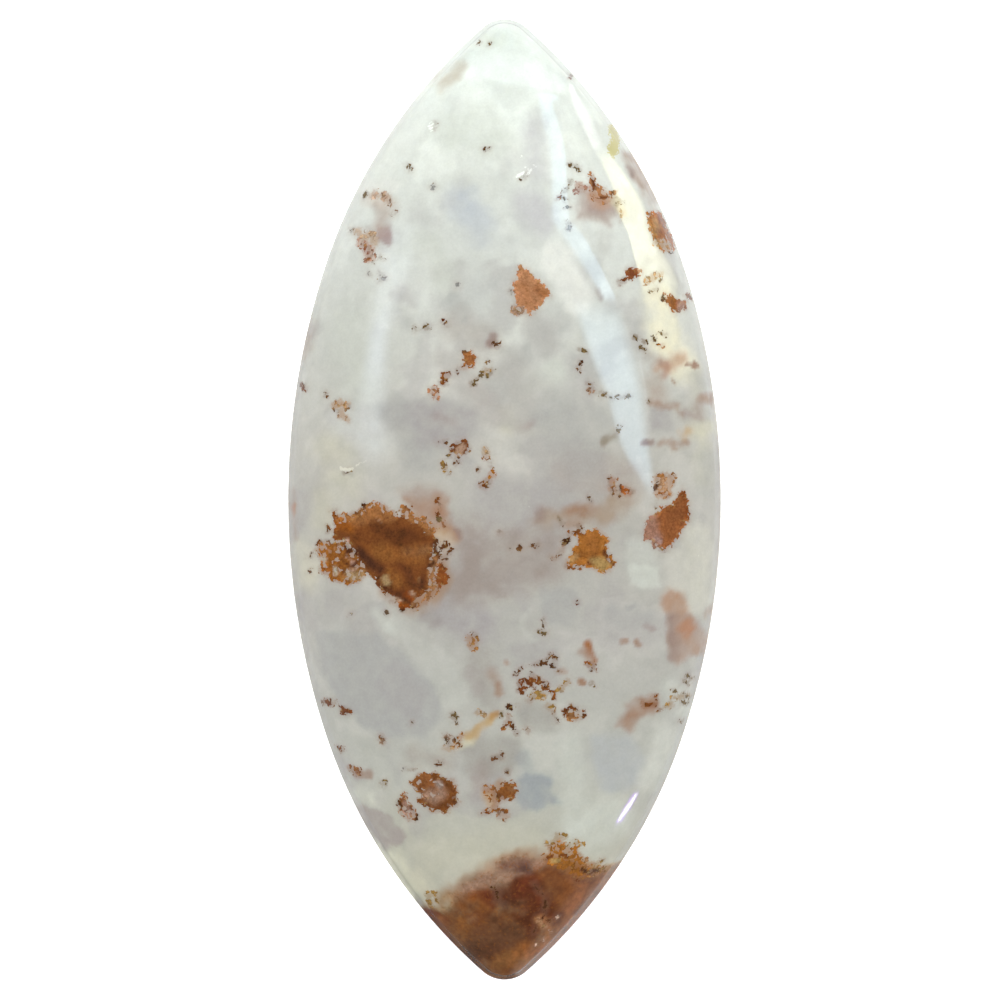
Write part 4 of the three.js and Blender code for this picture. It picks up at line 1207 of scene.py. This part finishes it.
class Finish:
    """A material or world and the nodes that are added to it."""

    def __init__(self, owner):
        owner.use_nodes = True
        self.owner = owner
        self.tree = owner.node_tree
        self.tree.nodes.clear()

    def node(self, kind, settings, inputs, output=0):
        """Adds a node, sets its settings, then its sockets by value or link; gives one output."""
        made = self.tree.nodes.new("ShaderNode" + kind)
        for key, value in settings.items():
            setattr(made, key, value)
        for key, value in inputs.items():
            if isinstance(value, Reading):
                self.tree.links.new(value.socket, made.inputs[key])
            else:
                made.inputs[key].default_value = value
        return Reading(self, made.outputs[output])

    def surface(self, shader, kind="OutputMaterial"):
        """Links the shader to the output and gives back the finished material or world."""
        output = self.tree.nodes.new("ShaderNode" + kind)
        self.tree.links.new(shader.socket, output.inputs["Surface"])
        return self.owner

    def stored(self, name, output="Color"):
        """What the mesh keeps under that name at each corner."""
        return self.node("Attribute", {"attribute_name": name}, {}, output)

    def split(self, colour):
        """The three numbers of a colour."""
        return [self.node("SeparateColor", {}, {0: colour}, k) for k in range(3)]

    def scaled(self, colour, share):
        """A colour or vector with each of its numbers times the share."""
        return self.node("VectorMath", {"operation": "SCALE"}, {0: colour, "Scale": share})

    def mixed(self, share, first, second):
        """One colour where share is 0, the other where it is 1.

        Sockets 6 and 7 take the two colours, and output 2 gives the mixed one.
        """
        colours = [value if isinstance(value, Reading) else (*linear(value) / PIGMENT_LIGHT, 1.0)
                   for value in (first, second)]
        inputs = {0: share, 6: colours[0], 7: colours[1]}
        return self.node("Mix", {"data_type": "RGBA"}, inputs, 2)

    def place(self):
        """Where a point is, in mm."""
        metres = self.node("TexCoord", {}, {}, "Object")
        return self.scaled(metres, 1 / MM)

    def noise(self, place, wavelength, detail, roughness):
        """Noise of about 0 to 1 whose broadest waves have that length in mm."""
        inputs = {
            "Vector": place,
            "Scale": 1 / wavelength,
            "Detail": detail,
            "Roughness": roughness,
        }
        return self.node("TexNoise", {}, inputs)

    def warped(self, place, wavelength, reach):
        """Places moved about by noise, at most half that reach along each axis."""
        inputs = {"Vector": place, "Scale": 1 / wavelength}
        drift = self.node("TexNoise", {}, inputs, 1)
        centre = (0.5, 0.5, 0.5)
        centred = self.node("VectorMath", {"operation": "SUBTRACT"}, {0: drift, 1: centre})
        moved = self.scaled(centred, reach)
        return self.node("VectorMath", {"operation": "ADD"}, {0: place, 1: moved})

    def crumbs(self, place, size):
        """Cells of about that size: three random numbers for each, and the way to its edge."""
        inputs = {"Vector": place, "Scale": 1 / size}
        colour = self.node("TexVoronoi", {"feature": "F1"}, inputs, "Color")
        to_edge = self.node("TexVoronoi", {"feature": "DISTANCE_TO_EDGE"}, inputs)
        return [*self.split(colour), to_edge]


def agate_finish():
    """The polished agate: mottled milk, crisp plumes with ragged crumbs, and flaws and a yellow
    pocket with painted glints.

    Wavelengths and depths are in mm, and other numbers are shares of a colour or of its light.
    """
    finish = Finish(bpy.data.materials.new("plume_agate"))
    place = finish.place()
    milk = finish.stored("milk")
    stain = finish.stored("milk", "Alpha")
    pigment = finish.stored("pigment")
    depth, lace, white = finish.split(finish.stored("plume"))
    yellow = finish.stored("plume", "Alpha")

    # milk, finely mottled, with grains where it is stained and veins where it is brown
    mottle = finish.noise(place, 0.6, detail=3, roughness=0.65)
    speckle = finish.noise(place, 0.11, detail=1, roughness=0.5)
    grain = finish.noise(place, 0.24, detail=2, roughness=0.6) - 0.5
    brown = stain.between(0.85, 1.0)
    milk = finish.scaled(milk, 0.84 + mottle * 0.20 + speckle * 0.12 + brown * grain * 0.8)
    streak = abs(finish.noise(place, 0.9, detail=2, roughness=0.5) - 0.5)
    vein = 1 - streak.between(0.01, 0.04)
    milk = finish.mixed(stain.between(0.8, 1.0) * vein * 0.16, milk, UMBER)
    dot = finish.noise(place, 0.15, detail=1, roughness=0.5).between(0.60, 0.68)
    milk = finish.mixed(brown * dot * 0.35, milk, ORANGE_RUST)

    # where the crisp plumes are: crumbs at the edge, and some crumbs left out where they are lace
    middle = finish.noise(place, 0.36, detail=3, roughness=0.6) - 0.5
    fine = finish.noise(place, 0.13, detail=2, roughness=0.6) - 0.5
    crumb_place = finish.warped(place, 0.25, reach=0.30)
    sort, kind, shade, seam = finish.crumbs(crumb_place, size=0.19)
    crumbly = (sort - 0.5) * (lace * 0.34 + 0.16)
    ragged = depth + middle * 0.34 + fine * 0.22 + crumbly
    missing = lace * 0.85 - 0.10
    gap = 1 - kind.between(missing - 0.05, missing)
    plume = ragged.between(0.0, 0.04) * (1 - gap * 0.85)
    outline = 1 - seam.between(0.03, 0.14)

    # their colour: darker and lighter clouds, with dark outlines and grains at the rim
    tone = finish.noise(place, 0.6, detail=4, roughness=0.7)
    rim = 1 - ragged.between(0.04, 0.34)
    lumps = (shade - 0.5) * (lace * 0.5 + rim * 0.4)
    crease = 1 - abs(middle).between(0.0, 0.05)
    relief = lumps + fine * 0.6 + grain * 0.5 - crease * 0.16
    body = finish.scaled(pigment, 0.12 + tone * 1.24 + speckle * 0.44 + rim * 0.22 + relief)
    grains = finish.noise(place, 0.16, detail=2, roughness=0.6).between(0.54, 0.62)
    dark = rim * (grains * 0.45 + outline * 0.25) + lace * outline * 0.5
    body = finish.mixed(dark.between(0.0, 1.2), body, UMBER)
    flakes = 1 - finish.noise(place, 0.19, detail=2, roughness=0.55).between(0.34, 0.42)
    body = finish.mixed(rim * flakes * 0.6, body, PALE_AMBER)

    # blurred pigment round the plumes and in the openings of the lace
    wide = depth + middle * 0.5
    fringe = (wide + fine * 0.2).between(-0.20, 0.06) * (0.30 + lace * 0.35)
    fringe_tint = finish.mixed(0.22, pigment, PINK_TAN)
    colour = finish.mixed(wide.between(-0.35, 0.0) * 0.12, milk, PINK_TAN)
    colour = finish.mixed(fringe.between(0.0, 1.0), colour, fringe_tint)
    colour = finish.mixed(plume, colour, body)

    # the yellow pocket with its painted sparkle, and the flaws painted white as their glint, on top
    fleck = (yellow + fine * 0.5).between(0.0, 0.08)
    colour = finish.mixed(fleck * 0.8, colour, YELLOW)
    flaw_glint = (white + fine * 0.2).between(0.0, 0.04)
    colour = finish.mixed(flaw_glint, colour, finish.scaled(milk, 1.28))

    shader = finish.node("BsdfPrincipled", {"subsurface_method": "RANDOM_WALK"}, {
        "Base Color": colour,
        "Roughness": 0.05,
        "IOR": 1.54,
        "Subsurface Weight": 0.7,
        "Subsurface Radius": (1.0, 0.95, 0.85),
        "Subsurface Scale": 1.2 * MM,
    })
    return finish.surface(shader)


def build_stone():
    """The whole cabochon, painted, in place of the solid of the same form."""
    points, faces = stone_surface()
    stone = smooth_mesh("cabochon", points, faces)
    paint_stone(stone)
    stone.data.materials.append(agate_finish())
    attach(stone, "root")
    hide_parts("agate_cabochon")


def build_floor():
    """A white floor just below the flat back, 3 metres wide.

    It glows a little to show as plain white, and the stone's gloss does not mirror it.
    """
    reach = 1.5
    level = -0.02 * MM
    corners = [(x * reach, y * reach, level) for x, y in ((-1, -1), (1, -1), (1, 1), (-1, 1))]
    floor = add_mesh("floor", corners, [(0, 1, 2, 3)])
    finish = Finish(bpy.data.materials.new("white_floor"))
    shader = finish.node("BsdfPrincipled", {}, {
        "Base Color": (0.93, 0.93, 0.93, 1),
        "Roughness": 0.9,
        "Emission Color": (1, 1, 1, 1),
        "Emission Strength": 0.6,
    })
    floor.data.materials.append(finish.surface(shader))
    floor.visible_glossy = False


def dome_height(x, y):
    """Height of the dome over the back: the foot's level plus crown rise times arch rise."""
    outline = half_outline(GIRDLE_LEAN)
    half_width = np.interp(y, outline[:, 1], outline[:, 0])
    return GIRDLE_TOP + crown_rise(half_width) * arch_rise(x / half_width)


def mirrored(spots, distance):
    """Points of the room, at that distance in mm, that the eye sees mirrored at spots of the dome.

    The spots are given by x and y as the eye sees them over the level of the outline. The way
    out is 2 (n . e) n - e, with n the dome's normal from its slopes and e the way to the eye.
    """
    height = dome_height(spots[..., 0], spots[..., 1])[..., None]
    spots = EYE[:2] + (spots - EYE[:2]) * (EYE[2] - height) / (EYE[2] - BACK_BEVEL)
    x, y = spots[..., 0], spots[..., 1]
    step = 0.05
    slope_x = (dome_height(x + step, y) - dome_height(x - step, y)) / (2 * step)
    slope_y = (dome_height(x, y + step) - dome_height(x, y - step)) / (2 * step)
    normal = np.stack([-slope_x, -slope_y, np.ones_like(x)], axis=-1)
    normal /= np.linalg.norm(normal, axis=-1, keepdims=True)
    mirror = np.stack([x, y, dome_height(x, y)], axis=-1)
    to_eye = (EYE - mirror) / np.linalg.norm(EYE - mirror, axis=-1, keepdims=True)
    way = 2 * np.sum(normal * to_eye, axis=-1, keepdims=True) * normal - to_eye
    return mirror + way * distance


# Glowing cards, given by where the dome mirrors them. Each has a colour, its strength, the
# shares of its width over which the glow rises at the inner edge and falls at the outer one,
# and rows: glow, inner point, outer point.
CARDS = (
    # white panel seen in the pale tip
    ((0.9, 0.95, 1.0), 2.6, 0.08, 0.5,
     (0, (-2.7, 21.5), (-2.4, 22.3)), (0.8, (-1.9, 21.5), (-1.6, 23.0)),
     (1, (-0.3, 21.25), (-0.2, 23.2)), (1, (1.0, 20.95), (1.0, 23.0)),
     (1, (2.2, 20.8), (2.1, 22.2)), (1, (3.1, 20.6), (2.9, 21.6))),
    # bright band along the upper right, white above and yellowish below
    ((1.0, 1.0, 1.0), 4.5, 0.4, 0.4,
     (1, (3.2, 21.1), (3.5, 21.2)), (1, (3.4, 20.0), (4.1, 20.1)), (1, (3.7, 19.3), (4.6, 19.4)),
     (1, (3.9, 18.3), (5.0, 18.4)), (0.6, (4.2, 17.3), (5.4, 17.4)), (0, (4.6, 16.6), (5.7, 16.8))),
    ((1.0, 0.96, 0.62), 7.0, 0.18, 0.25,
     (0, (4.6, 17.8), (5.4, 18.0)), (0.7, (4.9, 17.1), (5.8, 17.2)), (1, (5.3, 16.3), (6.4, 16.3)),
     (1, (5.6, 15.3), (7.1, 15.2)), (1, (5.55, 14.25), (7.5, 14.2)), (1, (5.7, 13.2), (7.8, 13.2)),
     (1, (6.05, 12.2), (8.4, 12.2)), (0.75, (6.5, 11.2), (8.9, 11.2)),
     (0.15, (7.0, 10.2), (8.8, 10.2)), (0.2, (7.3, 9.2), (8.8, 9.2)), (0.2, (7.7, 8.1), (9.0, 8.1)),
     (0, (7.9, 7.2), (9.0, 7.2))),
    # bluish streak inside the band, narrow above and broad below
    ((0.55, 0.8, 1.0), 5.4, 0.25, 0.15,
     (0.9, (1.6, 20.7), (2.8, 20.6)), (0.8, (1.8, 19.4), (3.0, 19.4)),
     (0.5, (2.1, 18.3), (3.1, 18.3)), (0.8, (2.25, 17.3), (3.3, 17.3)),
     (0.9, (2.3, 16.3), (3.25, 16.3)), (0.9, (2.35, 15.3), (3.3, 15.3)),
     (0.9, (2.3, 14.25), (3.4, 14.25)), (0.9, (3.0, 13.2), (4.3, 13.2)),
     (1, (3.7, 12.2), (4.95, 12.2)), (1.1, (4.35, 11.2), (5.6, 11.2)),
     (1.1, (4.9, 10.2), (6.0, 10.2)), (0.9, (5.15, 9.5), (6.3, 9.5)), (0, (5.5, 8.4), (6.5, 8.4))),
    ((0.55, 0.8, 1.0), 5.6, 0.15, 0.3,
     (0, (3.4, 10.2), (5.9, 10.2)), (0.7, (3.65, 9.15), (6.3, 9.15)), (0.9, (4.0, 8.1), (6.6, 8.1)),
     (1, (4.35, 7.1), (6.85, 7.1)), (1, (4.8, 6.1), (7.1, 6.1)), (0.9, (5.2, 5.1), (7.3, 5.1)),
     (0.9, (5.45, 4.05), (7.45, 4.05)), (0.9, (5.75, 3.05), (7.45, 3.05)),
     (1, (6.25, 2.0), (7.6, 2.0)), (0.8, (6.95, 1.0), (7.65, 1.0)), (0, (7.4, 0.1), (7.8, 0.1))),
    # bright outer edge of the streak
    ((0.85, 0.93, 1.0), 3.0, 0.5, 0.5,
     (0, (5.3, 11.4), (5.5, 11.4)), (1, (5.85, 9.8), (6.05, 9.8)), (1, (6.7, 7.6), (6.9, 7.6)),
     (1, (7.05, 5.7), (7.25, 5.7)), (0.6, (7.25, 3.8), (7.42, 3.8)), (0, (7.45, 2.2), (7.6, 2.2))),
    # broad dim panel between the band and the streak
    ((1.0, 1.0, 1.0), 0.4, 0.1, 0.0,
     (1, (2.4, 20.2), (3.1, 20.6)), (1, (3.0, 18.4), (4.2, 18.6)), (1, (3.3, 16.4), (5.0, 17.0)),
     (0.5, (3.7, 14.2), (5.6, 15.0)), (0.3, (4.7, 12.2), (6.3, 13.6)),
     (0.5, (5.9, 9.8), (6.8, 11.6)), (0, (6.7, 7.2), (7.3, 9.6))),
    # weak streak on the left
    ((0.7, 0.82, 1.0), 4.2, 0.4, 0.4,
     (0, (-3.8, 14.8), (-6.2, 14.6)), (0.4, (-4.2, 13.2), (-6.6, 13.2)),
     (0.5, (-4.4, 11.7), (-6.8, 11.7)), (0.4, (-5.0, 10.2), (-7.0, 10.2)),
     (1, (-5.7, 8.6), (-7.1, 8.6)), (1, (-5.8, 7.1), (-7.3, 7.1)), (0.6, (-5.7, 5.6), (-7.6, 5.6)),
     (0.45, (-5.8, 4.05), (-7.7, 4.05)), (0.3, (-5.9, 3.0), (-7.7, 3.0)),
     (0, (-5.9, 1.6), (-7.4, 1.6))),
    # small lamp seen near the lower right edge, with a violet fringe
    ((0.35, 0.1, 1.0), 9.0, 0.0, 0.0,
     (1, (5.66, -16.45), (5.92, -16.5)), (1, (6.05, -15.75), (6.36, -15.85)),
     (1, (6.6, -14.95), (6.86, -15.0))),
    ((1.0, 1.0, 1.0), 14.0, 0.0, 0.0,
     (1, (5.75, -16.38), (5.84, -16.42)), (1, (6.14, -15.75), (6.3, -15.83)),
     (1, (6.66, -15.05), (6.78, -15.08))),
)

# The cards stand this far from the dome, each a little nearer than the one before it, so that
# none lies in another. Each follows what the dome mirrors in some steps from row to row.
CARD_DISTANCE = 600
CARD_GAP = 10
CARD_STEPS = 8


def build_card(number, colour, strength, rise, fall, *rows):
    """A curved card near the stone that glows towards it, seen only in reflections.

    Its rows are joined by straight lines on the dome. Across them lie five columns: both edges,
    the ends of the rise and of the fall of the glow, and the middle between those.
    """
    glows, inner, outer = (np.array(column, float) for column in zip(*rows))
    at = np.linspace(0, len(rows) - 1, CARD_STEPS * (len(rows) - 1) + 1)
    edges = [np.stack([np.interp(at, range(len(rows)), edge[:, k]) for k in (0, 1)], axis=1)
             for edge in (inner, outer)]
    across = np.array([0, rise, (1 + rise - fall) / 2, 1 - fall, 1])
    spots = edges[0][:, None] + across[:, None] * (edges[1] - edges[0])[:, None]
    points = mirrored(spots, CARD_DISTANCE - CARD_GAP * number).reshape(-1, 3) * MM
    profile = np.array([rise == 0, 1, 1, 1, fall == 0], float)
    glow = (np.interp(at, range(len(rows)), glows)[:, None] * profile).ravel()
    columns = len(across)
    first = columns * np.arange(len(at) - 1)[:, None] + np.arange(columns - 1)
    corners = [first, first + 1, first + columns + 1, first + columns]
    faces = np.stack(corners, axis=-1).reshape(-1, 4)
    card = add_mesh(f"card_{number}", points.tolist(), faces.tolist())
    store(card, "glow", np.tile(glow[:, None], 3))
    finish = Finish(bpy.data.materials.new(f"card_{number}"))
    share = finish.stored("glow", "Fac")
    emission = finish.node("Emission", {}, {"Color": (*colour, 1), "Strength": share * strength})
    card.data.materials.append(finish.surface(emission))
    card.visible_camera = False
    card.visible_diffuse = False
    card.visible_shadow = False


def build_overhead_light():
    """A large square soft box over the stone that does not show in the gloss.

    Its width and its distance from the stone are in metres.
    """
    width = 0.9
    distance = 0.7
    toward = Vector((0.0, 0.12, 1)).normalized()
    data = bpy.data.lights.new("overhead", "AREA")
    data.shape = "RECTANGLE"
    data.size = width
    data.size_y = width
    data.energy = 8.6
    light = add_object("overhead", data)
    light.location = toward * distance
    light.rotation_mode = "QUATERNION"
    light.rotation_quaternion = toward.to_track_quat("Z", "Y")
    light.visible_glossy = False


def build_room():
    """A room that is dim above and brighter below the horizon, where the stone's edge mirrors it.

    Below the horizon it glows by compass direction: least beyond the brown end, and most beyond
    the pale tip.
    """
    toward_tip = (0.29, 0.96, 0)
    room = Finish(bpy.data.worlds.new("studio"))
    way = room.node("TexCoord", {}, {}, "Generated")
    height = room.node("SeparateXYZ", {}, {0: way}, 2)
    level = room.node("VectorMath", {"operation": "MULTIPLY"}, {0: way, 1: (1, 1, 0)})
    level = room.node("VectorMath", {"operation": "NORMALIZE"}, {0: level})
    side = room.node("VectorMath", {"operation": "DOT_PRODUCT"}, {0: level, 1: toward_tip}, 1)
    ground = 0.15 + side.between(-0.86, -0.76) * 0.42 + side.between(-0.45, -0.25) * 0.13
    ground = ground + side.between(0.0, 0.6) * 0.25
    strength = ground + height.between(0.0, 0.3) * (0.12 - ground)
    background = room.node("Background", {}, {"Color": (1, 1, 1, 1), "Strength": strength})
    bpy.context.scene.world = room.surface(background, "OutputWorld")
    bpy.context.scene.view_settings.view_transform = "Standard"


def add_camera():
    """The camera at the eye, looking straight down."""
    data = bpy.data.cameras.new("camera")
    data.lens = LENS
    data.sensor_width = SENSOR
    data.clip_start = 10 * MM
    camera = add_object("camera", data)
    camera.location = Vector(EYE) * MM
    bpy.context.scene.camera = camera


build_stone()
build_floor()
build_room()
build_overhead_light()
for number, card in enumerate(CARDS):
    build_card(number, *card)
add_camera()
